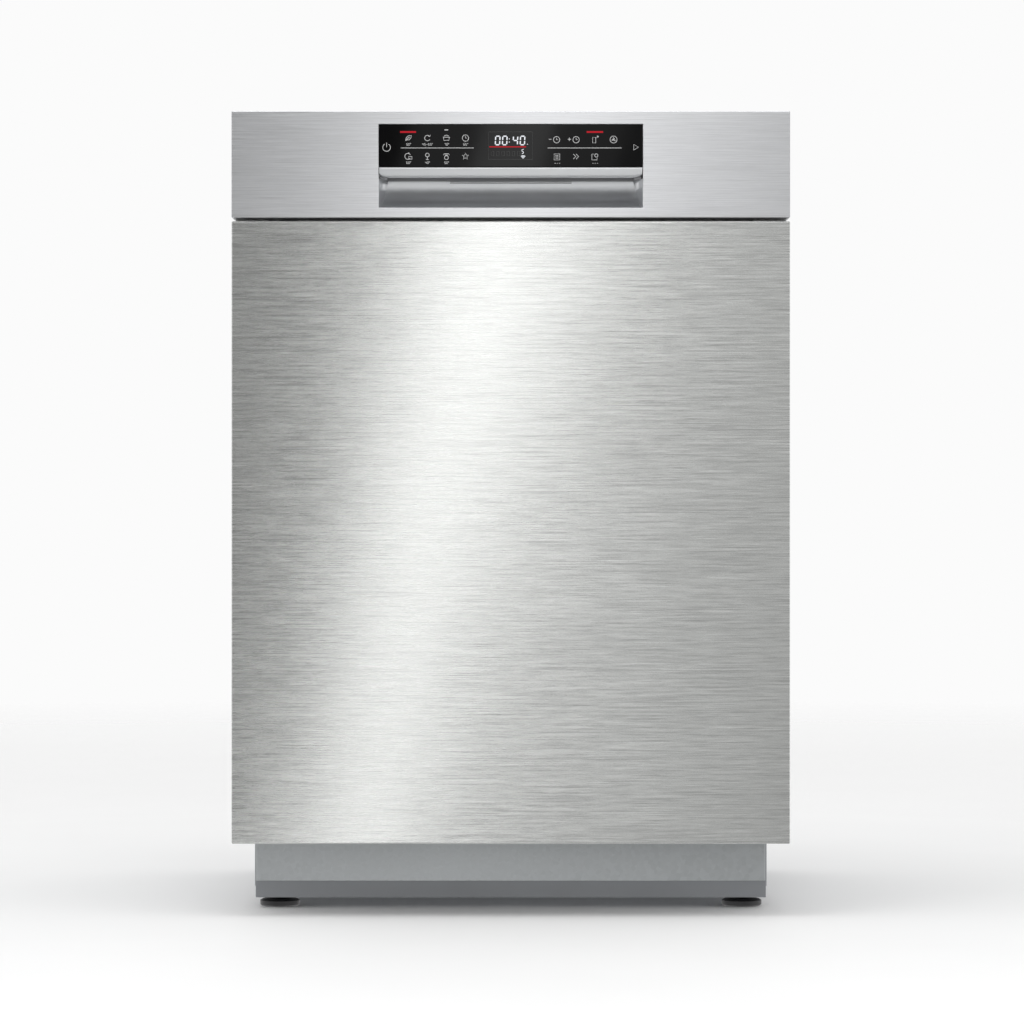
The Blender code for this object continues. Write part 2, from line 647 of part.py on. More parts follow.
def make_lower_rack(look):
    x, y, z = (-0.230, 0.230), (-0.190, 0.238), (LOWER_FLOOR, 0.338)
    blocks = tray_wires(x, y, z, (6, 5), WIRE)
    blocks.append(((-0.070, 0.070), (y[0] - 0.006, y[0] + 0.003), (z[1] - 0.024, z[1] + 0.004)))
    for side, _ in SIDES:
        for wheel_y, _ in WHEELS_Y:
            bracket_x = mirrored(side, 0.2285, 0.2400)
            blocks.append((bracket_x, (wheel_y - 0.040, wheel_y + 0.040), (0.192, LOWER_FLOOR + 0.001)))
    basket = bricks("lower_basket", blocks, look["wire"])
    axle_radius = 0.0040
    for side, word in SIDES:
        for wheel_y, place in WHEELS_Y:
            hub = (wheel_y, WHEEL_Z)
            unite(basket, disc("axle", hub, axle_radius, "X", mirrored(side, 0.2385, 0.2600), look["wire"], 12))
            wheel_x = mirrored(side, 0.2435, 0.2595)
            wheel = disc(f"wheel_{place}_{word}", hub, WHEEL_RADIUS, "X", wheel_x, look["grey"], 20)
            cut(wheel, disc("bore", hub, axle_radius + 0.0005, "X", mirrored(side, 0.2, 0.3), look["grey"], 12))
    tine_span, tine_height = (-0.205, 0.205), 0.078
    for name, row_y in (("lower_tines_front", -0.060), ("lower_tines_rear", 0.090)):
        comb(name, "Y", (row_y, LOWER_FLOOR + 0.006), tine_span, tine_height, 11, look["wire"])


def make_upper_rack(look):
    x, y, z = (-0.238, 0.238), (-0.208, 0.215), (UPPER_FLOOR, 0.652)
    columns, rows = 4, 3
    blocks = tray_wires(x, y, z, (columns, rows), WIRE)
    pitch = (y[1] - y[0]) / rows
    for side, _ in SIDES:
        for row in (1, 2):
            hanger_y = y[0] + pitch * row
            spread = (hanger_y - 0.016, hanger_y + 0.016)
            blocks.append((mirrored(side, 0.2375, 0.2490), spread, (RAIL_Z - 0.011, RAIL_Z + 0.013)))
        blocks.append((mirrored(side, 0.2480, 0.2540), (-0.214, 0.196), (RAIL_Z - 0.006, RAIL_Z + 0.006)))
    blocks.append(((-0.070, 0.070), (y[0] - 0.004, y[0] + 0.003), (z[1] - 0.024, z[1] + 0.004)))
    blocks.append(((-0.012, 0.012), (-0.010, 0.2435), (0.508, UPPER_FLOOR - 0.001)))
    basket = bricks("upper_basket", blocks, look["wire"])
    unite(basket, disc("hub", (0.0, 0.0), 0.016, "Z", (0.5085, UPPER_FLOOR), look["wire"], 16))
    spray_arm("upper_spray_arm", (0.0, 0.0), 0.200, (0.4880, 0.5035), look["grey"])
    comb("upper_tines", "X", (0.060, UPPER_FLOOR + 0.006), (-0.150, 0.150), 0.060, 8, look["wire"])

    shelf_x, shelf_y, shelf_z = (-0.228, -0.112), (-0.150, 0.130), (0.606, 0.609)
    slots, border = 5, 0.012
    slot_pitch = (shelf_y[1] - shelf_y[0] - border) / slots
    bars = [(shelf_x[0], shelf_x[0] + border), (shelf_x[1] - border, shelf_x[1])]
    blocks = [(bar, shelf_y, shelf_z) for bar in bars]
    for i in range(slots + 1):
        start = shelf_y[0] + slot_pitch * i
        blocks.append((shelf_x, (start, start + border), shelf_z))
    bricks("cup_shelf", blocks, look["grey"])

    steel = look["stainless"]
    for side, word in SIDES:
        fixed_x, moving_x = mirrored(side, 0.2606, TUB_X - GAP), mirrored(side, 0.2545, 0.2600)
        rail = box("upper_rail_" + word, fixed_x, (-0.225, 0.200), (RAIL_Z - 0.015, RAIL_Z + 0.015), steel)
        groove_x = mirrored(side, 0.255, TUB_X - 0.003)
        cut(rail, box("groove", groove_x, (-0.230, 0.300), (RAIL_Z - 0.012, RAIL_Z + 0.012), steel))
        runner = box("upper_runner_" + word, moving_x, (-0.222, 0.200), (RAIL_Z - 0.011, RAIL_Z + 0.011), steel)
        groove_x = mirrored(side, 0.2585, 0.270)
        cut(runner, box("groove", groove_x, (-0.230, 0.300), (RAIL_Z - 0.008, RAIL_Z + 0.008), steel))


def make_cutlery_drawer(look):
    x, y, z = (-0.2580, 0.2580), (-0.212, 0.205), (DRAWER_FLOOR, 0.797)
    wall = 0.0015
    blocks = tray_wires(x, y, (z[0], z[0] + 0.010), (6, 4), 2 * wall)
    for edge in x:
        blocks.append(((edge - wall, edge + wall), (y[0] - wall, y[1] + wall), (z[0] - wall, z[1])))
    for edge in y:
        blocks.append(((x[0] - wall, x[1] + wall), (edge - wall, edge + wall), (z[0] - wall, z[1])))
    blocks.append(((-0.070, 0.070), (y[0] - 0.005, y[0] + wall), (0.770, 0.792)))
    bricks("cutlery_drawer", blocks, look["grey"])
    steel = look["stainless"]
    for side, word in SIDES:
        rail_x, groove_x = mirrored(side, 0.2600, TUB_X - GAP), mirrored(side, 0.255, TUB_X - 0.003)
        rail = box("cutlery_rail_" + word, rail_x, (-0.225, 0.200), (0.770, 0.794), steel)
        cut(rail, box("groove", groove_x, (-0.230, 0.300), (0.773, 0.791), steel))


def main():
    for old in list(bpy.data.objects):
        bpy.data.objects.remove(old)
    look = {
        "brushed": material("brushed_steel", (0.56, 0.56, 0.55), 0.34, 1.0),
        "fascia": material("fine_brushed_steel", (0.62, 0.62, 0.63), 0.30, 1.0),
        "stainless": material("stainless_steel", (0.60, 0.60, 0.60), 0.25, 1.0),
        "galvanised": material("galvanised_steel", (0.50, 0.52, 0.53), 0.45, 1.0),
        "spring_steel": material("spring_steel", (0.40, 0.40, 0.41), 0.35, 1.0),
        "silver": material("silver_trim", (0.66, 0.67, 0.68), 0.28, 1.0),
        "black_glass": material("black_glass", (0.010, 0.010, 0.011), 0.06),
        "display": material("display", (0.02, 0.02, 0.02), 0.20),
        "board": material("circuit_board", (0.03, 0.12, 0.05), 0.50),
        "grey": material("grey_plastic", (0.33, 0.34, 0.35), 0.45),
        "black": material("black_plastic", (0.025, 0.025, 0.027), 0.50),
        "white": material("white_plastic", (0.75, 0.75, 0.74), 0.40),
        "wire": material("coated_wire", (0.45, 0.46, 0.47), 0.35),
        "rubber": material("rubber", (0.05, 0.05, 0.05), 0.60),
        "felt": material("insulation_felt", (0.30, 0.29, 0.27), 0.95),
    }
    make_base(look)
    make_hydraulics(look)
    make_tub(look)
    make_seal(look)
    make_chassis(look)
    make_water_path(look)
    make_hinges(look)
    make_door_shell(look)
    make_dispenser(look)
    make_fascia(look)
    make_lower_rack(look)
    make_upper_rack(look)
    make_cutlery_drawer(look)


main()
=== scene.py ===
"""The looks of the built-in dishwasher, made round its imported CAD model.

Metres, +Z up, the door faces -Y. Left is -X, as seen by someone in front of the door.
"""

import json
from math import copysign, cos, pi, radians, sin, tan, tau

import bmesh
import bpy
from mathutils import Matrix, Vector

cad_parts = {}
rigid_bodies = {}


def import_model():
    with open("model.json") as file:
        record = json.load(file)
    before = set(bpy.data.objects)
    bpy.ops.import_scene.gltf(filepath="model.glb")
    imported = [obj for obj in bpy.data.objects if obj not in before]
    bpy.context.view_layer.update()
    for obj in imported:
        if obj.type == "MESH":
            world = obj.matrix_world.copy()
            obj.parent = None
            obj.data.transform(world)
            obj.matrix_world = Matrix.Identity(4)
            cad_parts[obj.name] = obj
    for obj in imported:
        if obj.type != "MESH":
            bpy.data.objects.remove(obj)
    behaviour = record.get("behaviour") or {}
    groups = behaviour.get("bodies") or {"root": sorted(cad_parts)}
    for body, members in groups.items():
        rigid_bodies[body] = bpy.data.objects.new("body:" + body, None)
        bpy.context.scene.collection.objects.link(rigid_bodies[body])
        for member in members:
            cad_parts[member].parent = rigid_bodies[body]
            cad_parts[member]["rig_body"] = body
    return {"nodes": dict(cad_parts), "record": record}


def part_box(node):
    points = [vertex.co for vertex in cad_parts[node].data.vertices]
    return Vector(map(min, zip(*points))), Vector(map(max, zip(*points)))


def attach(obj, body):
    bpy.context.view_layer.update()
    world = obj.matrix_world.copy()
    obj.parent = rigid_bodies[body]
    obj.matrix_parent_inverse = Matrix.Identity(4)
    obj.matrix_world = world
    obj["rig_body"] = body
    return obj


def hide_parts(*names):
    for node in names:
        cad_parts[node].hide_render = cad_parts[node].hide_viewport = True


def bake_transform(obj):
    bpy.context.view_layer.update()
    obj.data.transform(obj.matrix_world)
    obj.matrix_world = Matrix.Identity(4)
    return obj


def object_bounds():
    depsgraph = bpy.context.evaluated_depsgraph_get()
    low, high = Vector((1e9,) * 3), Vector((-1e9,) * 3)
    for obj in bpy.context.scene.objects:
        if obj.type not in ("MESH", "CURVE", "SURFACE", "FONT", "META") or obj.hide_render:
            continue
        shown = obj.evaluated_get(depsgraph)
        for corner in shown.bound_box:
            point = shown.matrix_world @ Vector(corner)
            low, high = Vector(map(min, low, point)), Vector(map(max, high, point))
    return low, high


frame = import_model()
cad_low, cad_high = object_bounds()

FRONT = cad_low[1]
SIDES = ((-1, "left"), (1, "right"))
MM = 0.001
VIEW_DISTANCE = 4.108
VIEW_HEIGHT = 0.4345
SLOTS = {part["node"]: part["material_slot"] for part in frame["record"]["subparts"]}


# ---- mesh helpers


def new_object(name, data):
    made = bpy.data.objects.new(name, data)
    bpy.context.scene.collection.objects.link(made)
    return made


def new_mesh(name, bm, look):
    mesh = bpy.data.meshes.new(name)
    bm.to_mesh(mesh)
    bm.free()
    mesh.materials.append(look)
    return new_object(name, mesh)


def finish_mesh(name, bm, body, slot, replaces=(), look=None, angle=35):
    """The shown object of a bmesh. It rides on body, if one is given, and has its slot's look or another."""
    bmesh.ops.recalc_face_normals(bm, faces=bm.faces)
    piece = new_mesh(name, bm, LOOK[look or slot])
    piece.data.shade_smooth()
    settle_shading(piece, angle)
    if body:
        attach(piece, body)
    if replaces:
        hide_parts(*replaces)
    return piece


def modify(piece, kind, **settings):
    """Adds a modifier and applies it."""
    step = piece.modifiers.new(kind, kind)
    for name, value in settings.items():
        setattr(step, name, value)
    with bpy.context.temp_override(object=piece):
        bpy.ops.object.modifier_apply(modifier=step.name)


def settle_shading(piece, angle=35):
    """Sharp edges stay sharp, and large faces stay flat beside their rounded edges."""
    piece.data.set_sharp_from_angle(angle=radians(angle))
    modify(piece, "WEIGHTED_NORMAL", keep_sharp=True)


def add_block(bm, low, high, bevel=0.0, segments=2):
    """Adds a box with rounded edges."""
    size = Vector(high) - Vector(low)
    centre = (Vector(low) + Vector(high)) / 2
    made = bmesh.ops.create_cube(bm, size=1.0)["verts"]
    bmesh.ops.transform(bm, matrix=Matrix.Translation(centre) @ Matrix.Diagonal((*size, 1)), verts=made)
    if bevel:
        edges = list({edge for vert in made for edge in vert.link_edges})
        limit = min(bevel, min(size) * 0.45)
        bmesh.ops.bevel(bm, geom=edges, offset=limit, segments=segments, profile=0.5, affect="EDGES")


def bridge(bm, first, second):
    """Joins two closed rings with equally many vertices."""
    afters = [*range(1, len(first)), 0]
    return [bm.faces.new((first[k], first[n], second[n], second[k])) for k, n in enumerate(afters)]


def add_prism(bm, outline, axis, span, bevel=0.0, segments=2):
    """Adds an outline drawn out along an axis. Its two numbers are the other axes, in X, Y, Z order."""
    place = {
        "X": lambda u, v, w: (w, u, v),
        "Y": lambda u, v, w: (u, w, v),
        "Z": lambda u, v, w: (u, v, w),
    }[axis]
    low, high = ([bm.verts.new(place(u, v, w)) for u, v in outline] for w in span)
    caps = [bm.faces.new(low), bm.faces.new(reversed(high))]
    bmesh.ops.recalc_face_normals(bm, faces=caps + bridge(bm, low, high))
    if bevel:
        edges = [edge for cap in caps for edge in cap.edges]
        bmesh.ops.bevel(bm, geom=edges, offset=bevel, segments=segments, profile=0.5, affect="EDGES")


def arc(centre, radius, start, end, steps):
    angles = [radians(start + (end - start) * i / steps) for i in range(steps + 1)]
    return [(centre[0] + radius * cos(a), centre[1] + radius * sin(a)) for a in angles]


def rounded(low, high, radius, steps=6):
    """A rectangle with round corners, as an outline."""
    (x0, y0), (x1, y1) = low, high
    corners = (
        ((x1 - radius, y0 + radius), -90),
        ((x1 - radius, y1 - radius), 0),
        ((x0 + radius, y1 - radius), 90),
        ((x0 + radius, y0 + radius), 180),
    )
    return [p for centre, start in corners for p in arc(centre, radius, start, start + 90, steps)]


def add_turned(bm, profile, centre, axis, steps=32):
    """Adds a profile of (radius, height) points turned round an axis through centre. It closes on itself."""
    frame_of = {
        "X": lambda r, h, a: (h, r * cos(a), r * sin(a)),
        "Y": lambda r, h, a: (r * sin(a), h, r * cos(a)),
        "Z": lambda r, h, a: (r * cos(a), r * sin(a), h),
    }[axis]
    rings = []
    for radius, height in profile:
        angles = [tau * i / steps for i in range(steps)] if radius > 1e-6 else [0]
        rings.append([bm.verts.new(Vector(centre) + Vector(frame_of(radius, height, a))) for a in angles])
    for first, second in zip(rings, rings[1:] + rings[:1]):
        if len(first) == 1 and len(second) == 1:
            continue
        for i in range(steps):
            pairs = [(ring[i % len(ring)], ring[(i + 1) % steps % len(ring)]) for ring in (first, second)]
            bm.faces.new(list(dict.fromkeys((*pairs[0], *reversed(pairs[1])))))


def softened(points, bend, steps=4, closed=False):
    """The path with its corners turned into curves."""
    count = len(points)
    path = []
    for i, point in enumerate(points):
        here = Vector(point)
        if not closed and i in (0, count - 1):
            path.append(here)
            continue
        before, after = Vector(points[i - 1]) - here, Vector(points[(i + 1) % count]) - here
        reach = min(bend, before.length * 0.49, after.length * 0.49)
        start, end = here + before.normalized() * reach, here + after.normalized() * reach
        for k in range(steps + 1):
            t = k / steps
            path.append(start * (1 - t) ** 2 + here * 2 * t * (1 - t) + end * t**2)
    return path


def add_wire(bm, points, radius, sides=8, bend=0.0, closed=False, flat=None):
    """Adds a round wire along a path. flat squeezes it in Y to that share of its thickness."""
    path = softened(points, bend, closed=closed) if bend else [Vector(p) for p in points]
    count = len(path)
    tangents = []
    for i in range(count):
        before = path[i - 1] if i or closed else path[i]
        after = path[(i + 1) % count] if i < count - 1 or closed else path[i]
        tangents.append((after - before).normalized())
    normal = tangents[0].orthogonal().normalized()
    rings = []
    for point, tangent in zip(path, tangents):
        normal = (normal - tangent * normal.dot(tangent)).normalized()
        binormal = tangent.cross(normal)
        ring = []
        for k in range(sides):
            out = (normal * cos(tau * k / sides) + binormal * sin(tau * k / sides)) * radius
            if flat is not None:
                out.y *= flat
            ring.append(bm.verts.new(point + out))
        rings.append(ring)
    pairs = list(zip(rings, rings[1:]))
    if closed:
        last, first = rings[-1], rings[0]
        shift = min(range(sides), key=lambda k: (first[k].co - last[0].co).length)
        pairs.append((last, first[shift:] + first[:shift]))
    for first, second in pairs:
        bridge(bm, first, second)
    if not closed:
        bm.faces.new(rings[0])
        bm.faces.new(reversed(rings[-1]))


def thicken(piece, thickness):
    """Turns a sheet into a closed shell that grows towards +Y."""
    facing_front = sum(p.normal.y * p.area for p in piece.data.polygons) < 0
    offset = -1.0 if facing_front else 1.0
    modify(piece, "SOLIDIFY", thickness=thickness, offset=offset, use_even_offset=True)
    settle_shading(piece)


# ---- materials


def add_node(tree, kind, links=(), **sockets):
    """Adds a shader node. links are (its input, another node's output), and sockets are fixed values."""
    node = tree.nodes.new("ShaderNode" + kind)
    for socket, value in sockets.items():
        node.inputs[socket.replace("_", " ")].default_value = value
    for entry, source in links:
        tree.links.new(source, node.inputs[entry])
    return node


class Nodes:
    """A material being made: its Principled BSDF and a few ways to wire textures to it."""

    def __init__(self, name, colour, roughness, metallic=0.0, **sockets):
        self.material = bpy.data.materials.new(name)
        self.material.use_nodes = True
        self.tree = self.material.node_tree
        self.surface = self.tree.nodes["Principled BSDF"]
        self.colour = colour
        fixed = {"Base Color": (*colour, 1), "Roughness": roughness, "Metallic": metallic, **sockets}
        for socket, value in fixed.items():
            self.surface.inputs[socket.replace("_", " ")].default_value = value

    def stretched(self, stretch=(1, 1, 1)):
        place = add_node(self.tree, "TexCoord").outputs["Object"]
        return add_node(self.tree, "Mapping", [("Vector", place)], Scale=stretch).outputs["Vector"]

    def noise(self, scale, detail=3.0, roughness=0.55, stretch=(1, 1, 1)):
        links = [("Vector", self.stretched(stretch))]
        node = add_node(self.tree, "TexNoise", links, Scale=scale, Detail=detail, Roughness=roughness)
        return node.outputs["Fac"]

    def cells(self, scale):
        return add_node(self.tree, "TexVoronoi", [("Vector", self.stretched())], Scale=scale).outputs["Color"]

    def remap(self, source, low, high, start, end):
        ends = {"From_Min": start, "From_Max": end, "To_Min": low, "To_Max": high}
        return add_node(self.tree, "MapRange", [("Value", source)], **ends).outputs["Result"]

    def mean(self, first, second, share=0.5):
        return add_node(self.tree, "Mix", [("A", first), ("B", second)], Factor=share).outputs["Result"]

    def ramp(self, source, socket, colour, places, shares):
        """Drives a colour socket between two shares of a colour."""
        node = add_node(self.tree, "ValToRGB", [("Fac", source)])
        for element, place, share in zip(node.color_ramp.elements, places, shares):
            element.position = place
            element.color = (*(min(1.0, c * share) for c in colour), 1)
        self.tree.links.new(node.outputs["Color"], self.surface.inputs[socket])

    def vary(self, source, tint=None, rough=None, span=(0.3, 0.7)):
        """Varies the base colour between two shares of itself, and the roughness between two values."""
        if tint:
            self.ramp(source, "Base Color", self.colour, span, tint)
        if rough:
            self.tree.links.new(self.remap(source, *rough, *span), self.surface.inputs["Roughness"])

    def bump(self, source, distance, strength):
        node = add_node(self.tree, "Bump", [("Height", source)], Distance=distance, Strength=strength)
        self.tree.links.new(node.outputs["Normal"], self.surface.inputs["Normal"])

    def grain_along(self, axis):
        """The direction in which reflections are drawn out: round an axis through the object's origin."""
        node = add_node(self.tree, "Tangent")
        node.direction_type = "RADIAL"
        node.axis = axis
        self.tree.links.new(node.outputs["Tangent"], self.surface.inputs["Tangent"])


def brushed_steel(name, colour, roughness, coarse, contrast, anisotropy):
    """Steel brushed from side to side: long faint scratches, and reflections drawn out upwards."""
    nodes = Nodes(name, colour, roughness, 1.0, Anisotropic=anisotropy)
    long = nodes.noise(1.0, 5.0, 0.62, (11, 11, coarse))
    short = nodes.noise(1.0, 3.0, 0.7, (40, 40, coarse * 2.0))
    both = nodes.mean(long, short, 0.45)
    nodes.vary(both, (1 - contrast, 1 + contrast), (roughness * 0.85, roughness * 1.15), (0.36, 0.64))
    nodes.bump(both, 0.00003, 0.25)
    nodes.grain_along("X")
    return nodes.material


def drawn_steel(name, colour, roughness):
    """Bright rolled and deep-drawn steel, with faint smears."""
    nodes = Nodes(name, colour, roughness, 1.0)
    smear = nodes.noise(6.0, 4.0, 0.6)
    fine = nodes.noise(1.0, 2.0, 0.5, (60, 60, 900))
    nodes.vary(nodes.mean(smear, fine), (0.985, 1.01), span=(0.25, 0.75))
    nodes.vary(smear, rough=(roughness * 0.97, roughness * 1.04), span=(0.2, 0.8))
    return nodes.material


def galvanised(name):
    """Zinc-coated sheet, with its spangle of crystals."""
    nodes = Nodes(name, (0.50, 0.52, 0.53), 0.42, 1.0)
    both = nodes.mean(nodes.cells(210.0), nodes.noise(9.0, 4.0, 0.6))
    nodes.vary(both, (0.88, 1.08), (0.34, 0.52), (0.2, 0.8))
    return nodes.material


def plastic(name, colour, roughness):
    """Moulded plastic with a fine, even grain and a little unevenness."""
    nodes = Nodes(name, colour, roughness)
    nodes.vary(nodes.noise(12.0, 3.0, 0.5), (0.93, 1.07), (roughness * 0.88, roughness * 1.12))
    nodes.bump(nodes.noise(1400.0, 2.0, 0.5), 0.00004, 0.5)
    return nodes.material


def coated_wire(name):
    nodes = Nodes(name, (0.42, 0.43, 0.45), 0.34, 0.15, Coat_Weight=0.35, Coat_Roughness=0.18)
    uneven = nodes.noise(160.0, 3.0, 0.5)
    nodes.vary(uneven, (0.92, 1.08), (0.28, 0.42))
    nodes.bump(uneven, 0.00008, 0.3)
    return nodes.material


def rubber(name):
    nodes = Nodes(name, (0.035, 0.035, 0.036), 0.62)
    nodes.vary(nodes.noise(40.0, 4.0, 0.65), (0.8, 1.6), (0.52, 0.74))
    nodes.bump(nodes.noise(900.0, 2.0, 0.5), 0.00005, 0.5)
    return nodes.material


def felt(name):
    """A pressed mat of mixed fibres."""
    nodes = Nodes(name, (0.27, 0.26, 0.245), 0.95, Sheen_Weight=0.3, Sheen_Roughness=0.6)
    fibre = nodes.noise(1.0, 6.0, 0.75, (260, 190, 260))
    clump = nodes.noise(38.0, 5.0, 0.7)
    both = nodes.mean(fibre, clump, 0.45)
    nodes.vary(both, (0.45, 1.7), span=(0.32, 0.68))
    nodes.bump(both, 0.0012, 0.8)
    return nodes.material


def black_glass(name):
    """Polished black glass, with the faint haze that a wiped surface keeps."""
    nodes = Nodes(name, (0.0018, 0.0018, 0.002), 0.05, IOR=1.225)
    nodes.vary(nodes.noise(14.0, 4.0), (0.85, 1.15), (0.045, 0.075))
    return nodes.material


def satin_silver(name, roughness, tone, metallic):
    """Metal-coloured plastic with a satin coat."""
    nodes = Nodes(name, (tone * 0.985, tone, tone * 1.02), roughness, metallic)
    nodes.vary(nodes.noise(20.0, 3.0, 0.5), (0.975, 1.02), (roughness * 0.96, roughness * 1.04))
    return nodes.material


def lit(name, colour, strength):
    """A lit segment. Its light is a little uneven."""
    nodes = Nodes(name, colour, 0.5, Emission_Strength=strength, Specular_IOR_Level=0.0)
    nodes.surface.inputs["Base Color"].default_value = (0.01, 0.01, 0.01, 1)
    nodes.ramp(nodes.noise(300.0), "Emission Color", colour, (0.0, 1.0), (0.85, 1.0))
    return nodes.material


def printed(name, tone):
    nodes = Nodes(name, (tone, tone, tone), 0.45)
    nodes.vary(nodes.noise(500.0), (0.9, 1.05))
    return nodes.material


LOOK = {
    "brushed_steel": brushed_steel("door_brushed_steel", (0.60, 0.605, 0.595), 0.265, 900, 0.28, 0.90),
    "fine_brushed_steel": brushed_steel("fascia_brushed_steel", (0.64, 0.645, 0.66), 0.35, 1300, 0.12, 0.72),
    "stainless_steel": drawn_steel("drawn_steel", (0.70, 0.70, 0.69), 0.27),
    "galvanised_steel": galvanised("galvanised_sheet"),
    "spring_steel": drawn_steel("spring_steel_dark", (0.30, 0.30, 0.31), 0.35),
    "grey_plastic": plastic("grey_moulding", (0.26, 0.27, 0.285), 0.42),
    "black_plastic": plastic("black_moulding", (0.022, 0.022, 0.024), 0.48),
    "white_plastic": plastic("white_moulding", (0.72, 0.72, 0.70), 0.38),
    "coated_wire": coated_wire("nylon_coated_wire"),
    "rubber": rubber("black_rubber"),
    "insulation_felt": felt("fibre_felt"),
    "black_glass": black_glass("black_control_glass"),
    "silver_trim": satin_silver("grip_bar_silver", 0.36, 0.57, 0.9),
    "scoop": satin_silver("recess_silver", 0.35, 0.76, 0.9),
    "circuit_board": plastic("green_board", (0.02, 0.10, 0.04), 0.45),
    "print": printed("grey_white_print", 0.62),
    "faint": printed("faint_print", 0.045),
    "white_led": lit("white_segments", (0.92, 0.95, 1.0), 1.05),
    "red_led": lit("red_light_bar", (1.0, 0.02, 0.04), 0.52),
}
LOOK["display"] = LOOK["black_glass"]


# ---- door front


def make_door_skin():
    """The outer panel: a folded pan with round front edges. Its lower sides step forward past the hinge."""
    low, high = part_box("door_panel")
    skin, bevel = 1.2 * MM, 1.3 * MM
    x0, x1, front, z0, z1 = low[0], high[0], low[1], low[2], high[2]
    apron, back, step_low, step_high = front + 0.0185, high[1], 0.160, 0.172
    bm = bmesh.new()
    side = [(front, z0), (apron, z0), (apron, step_low), (back, step_high), (back, z1), (front, z1)]
    left, right = ([bm.verts.new((x, y, z)) for y, z in side] for x in (x0, x1))
    bm.faces.new(left)
    bm.faces.new(reversed(right))
    for i in (0, 4, 5):
        after = (i + 1) % len(side)
        bm.faces.new((left[i], left[after], right[after], right[i]))
    bmesh.ops.recalc_face_normals(bm, faces=bm.faces)
    outline = [edge for edge in bm.edges if all(abs(vert.co.y - front) < 1e-6 for vert in edge.verts)]
    corners = [
        edge
        for edge in bm.edges
        if len(edge.link_faces) == 2
        and edge not in outline
        and abs(edge.verts[0].co.y - edge.verts[1].co.y) > 1e-4
    ]
    bmesh.ops.bevel(bm, geom=outline + corners, offset=bevel, segments=4, profile=0.5, affect="EDGES")
    piece = finish_mesh("door_skin", bm, "door", "brushed_steel", ["door_panel"])
    thicken(piece, skin)


def make_fascia():
    """The control panel's sheet, with a window whose edges fold inwards."""
    low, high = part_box("fascia")
    _, glass_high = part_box("control_glass")
    shell_low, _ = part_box("handle_shell")
    skin, bevel, turn_in = 1.2 * MM, 1.0 * MM, 0.004
    gap = 0.3 * MM
    wx, w0, w1 = glass_high[0] + gap, shell_low[2] - 1.3 * MM, glass_high[2] + gap
    front, back = low[1], high[1]
    xs, zs = (low[0], -wx, wx, high[0]), (low[2], w0, w1, high[2])
    bm = bmesh.new()
    grid = [[bm.verts.new((x, front, z)) for z in zs] for x in xs]
    for i in range(3):
        for k in range(3):
            if (i, k) != (1, 1):
                bm.faces.new((grid[i][k], grid[i + 1][k], grid[i + 1][k + 1], grid[i][k + 1]))
    hole = [grid[1][1], grid[2][1], grid[2][2], grid[1][2]]
    inner = [bm.verts.new((v.co.x, front + turn_in, v.co.z)) for v in hole]
    bridge(bm, hole, inner)
    rim = [grid[0][k] for k in range(4)] + [grid[i][3] for i in range(1, 4)]
    rim += [grid[3][k] for k in (2, 1, 0)] + [grid[i][0] for i in (2, 1)]
    deep = [bm.verts.new((v.co.x, back, v.co.z)) for v in rim]
    bridge(bm, rim, deep)
    bmesh.ops.recalc_face_normals(bm, faces=bm.faces)
    shell = {*rim, *deep}
    outer = [
        edge
        for edge in bm.edges
        if len(edge.link_faces) == 2 and edge.calc_face_angle() > radians(60) and shell.issuperset(edge.verts)
    ]
    window = [edge for edge in bm.edges if edge.verts[0] in hole and edge.verts[1] in hole]
    bmesh.ops.bevel(bm, geom=outer, offset=bevel, segments=4, profile=0.5, affect="EDGES")
    window = [edge for edge in window if edge.is_valid]
    bmesh.ops.bevel(bm, geom=window, offset=0.5 * MM, segments=2, profile=0.5, affect="EDGES")
    piece = dress("fascia", "_skin", bm)
    thicken(piece, skin)


def make_control_glass():
    low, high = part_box("control_glass")
    bm = bmesh.new()
    add_block(bm, low, high, 0.35 * MM, 2)
    dress("control_glass", "_pane", bm)


def make_grip_bar():
    """The bar across the window: a nearly flat front whose underside curves up at both ends."""
    low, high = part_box("handle_bar")
    half_length, end_reach, end_rise, stations, belly, flat = high[0], 0.012, 0.0034, 8, 1.8 * MM, 0.6
    inward = [end_reach * (1 - cos(pi / 2 * i / stations)) for i in range(stations + 1)]
    bm = bmesh.new()
    rings = []
    for x in [low[0] + step for step in inward] + [high[0] - step for step in reversed(inward)]:
        inset = max(0.0, 1 - (half_length - abs(x)) / end_reach)
        bottom = low[2] + end_rise * (1 - (1 - inset**2) ** 0.5)
        half, middle = (high[2] - bottom) / 2, (high[2] + bottom) / 2
        ring = []
        for k in range(17):
            share = -1 + k / 8
            drop = 0.12 * share**2 + 0.88 * max(0.0, (abs(share) - flat) / (1 - flat)) ** 3
            ring.append((x, low[1] + belly * drop, middle + half * share))
        rings.append([*ring, (x, high[1], high[2] - 0.2 * MM), (x, high[1], bottom + 0.2 * MM)])
    rows = add_loft(bm, rings)
    bm.faces.new(rows[0])
    bm.faces.new(rows[-1])
    dress("handle_bar", "_grip", bm, 50)


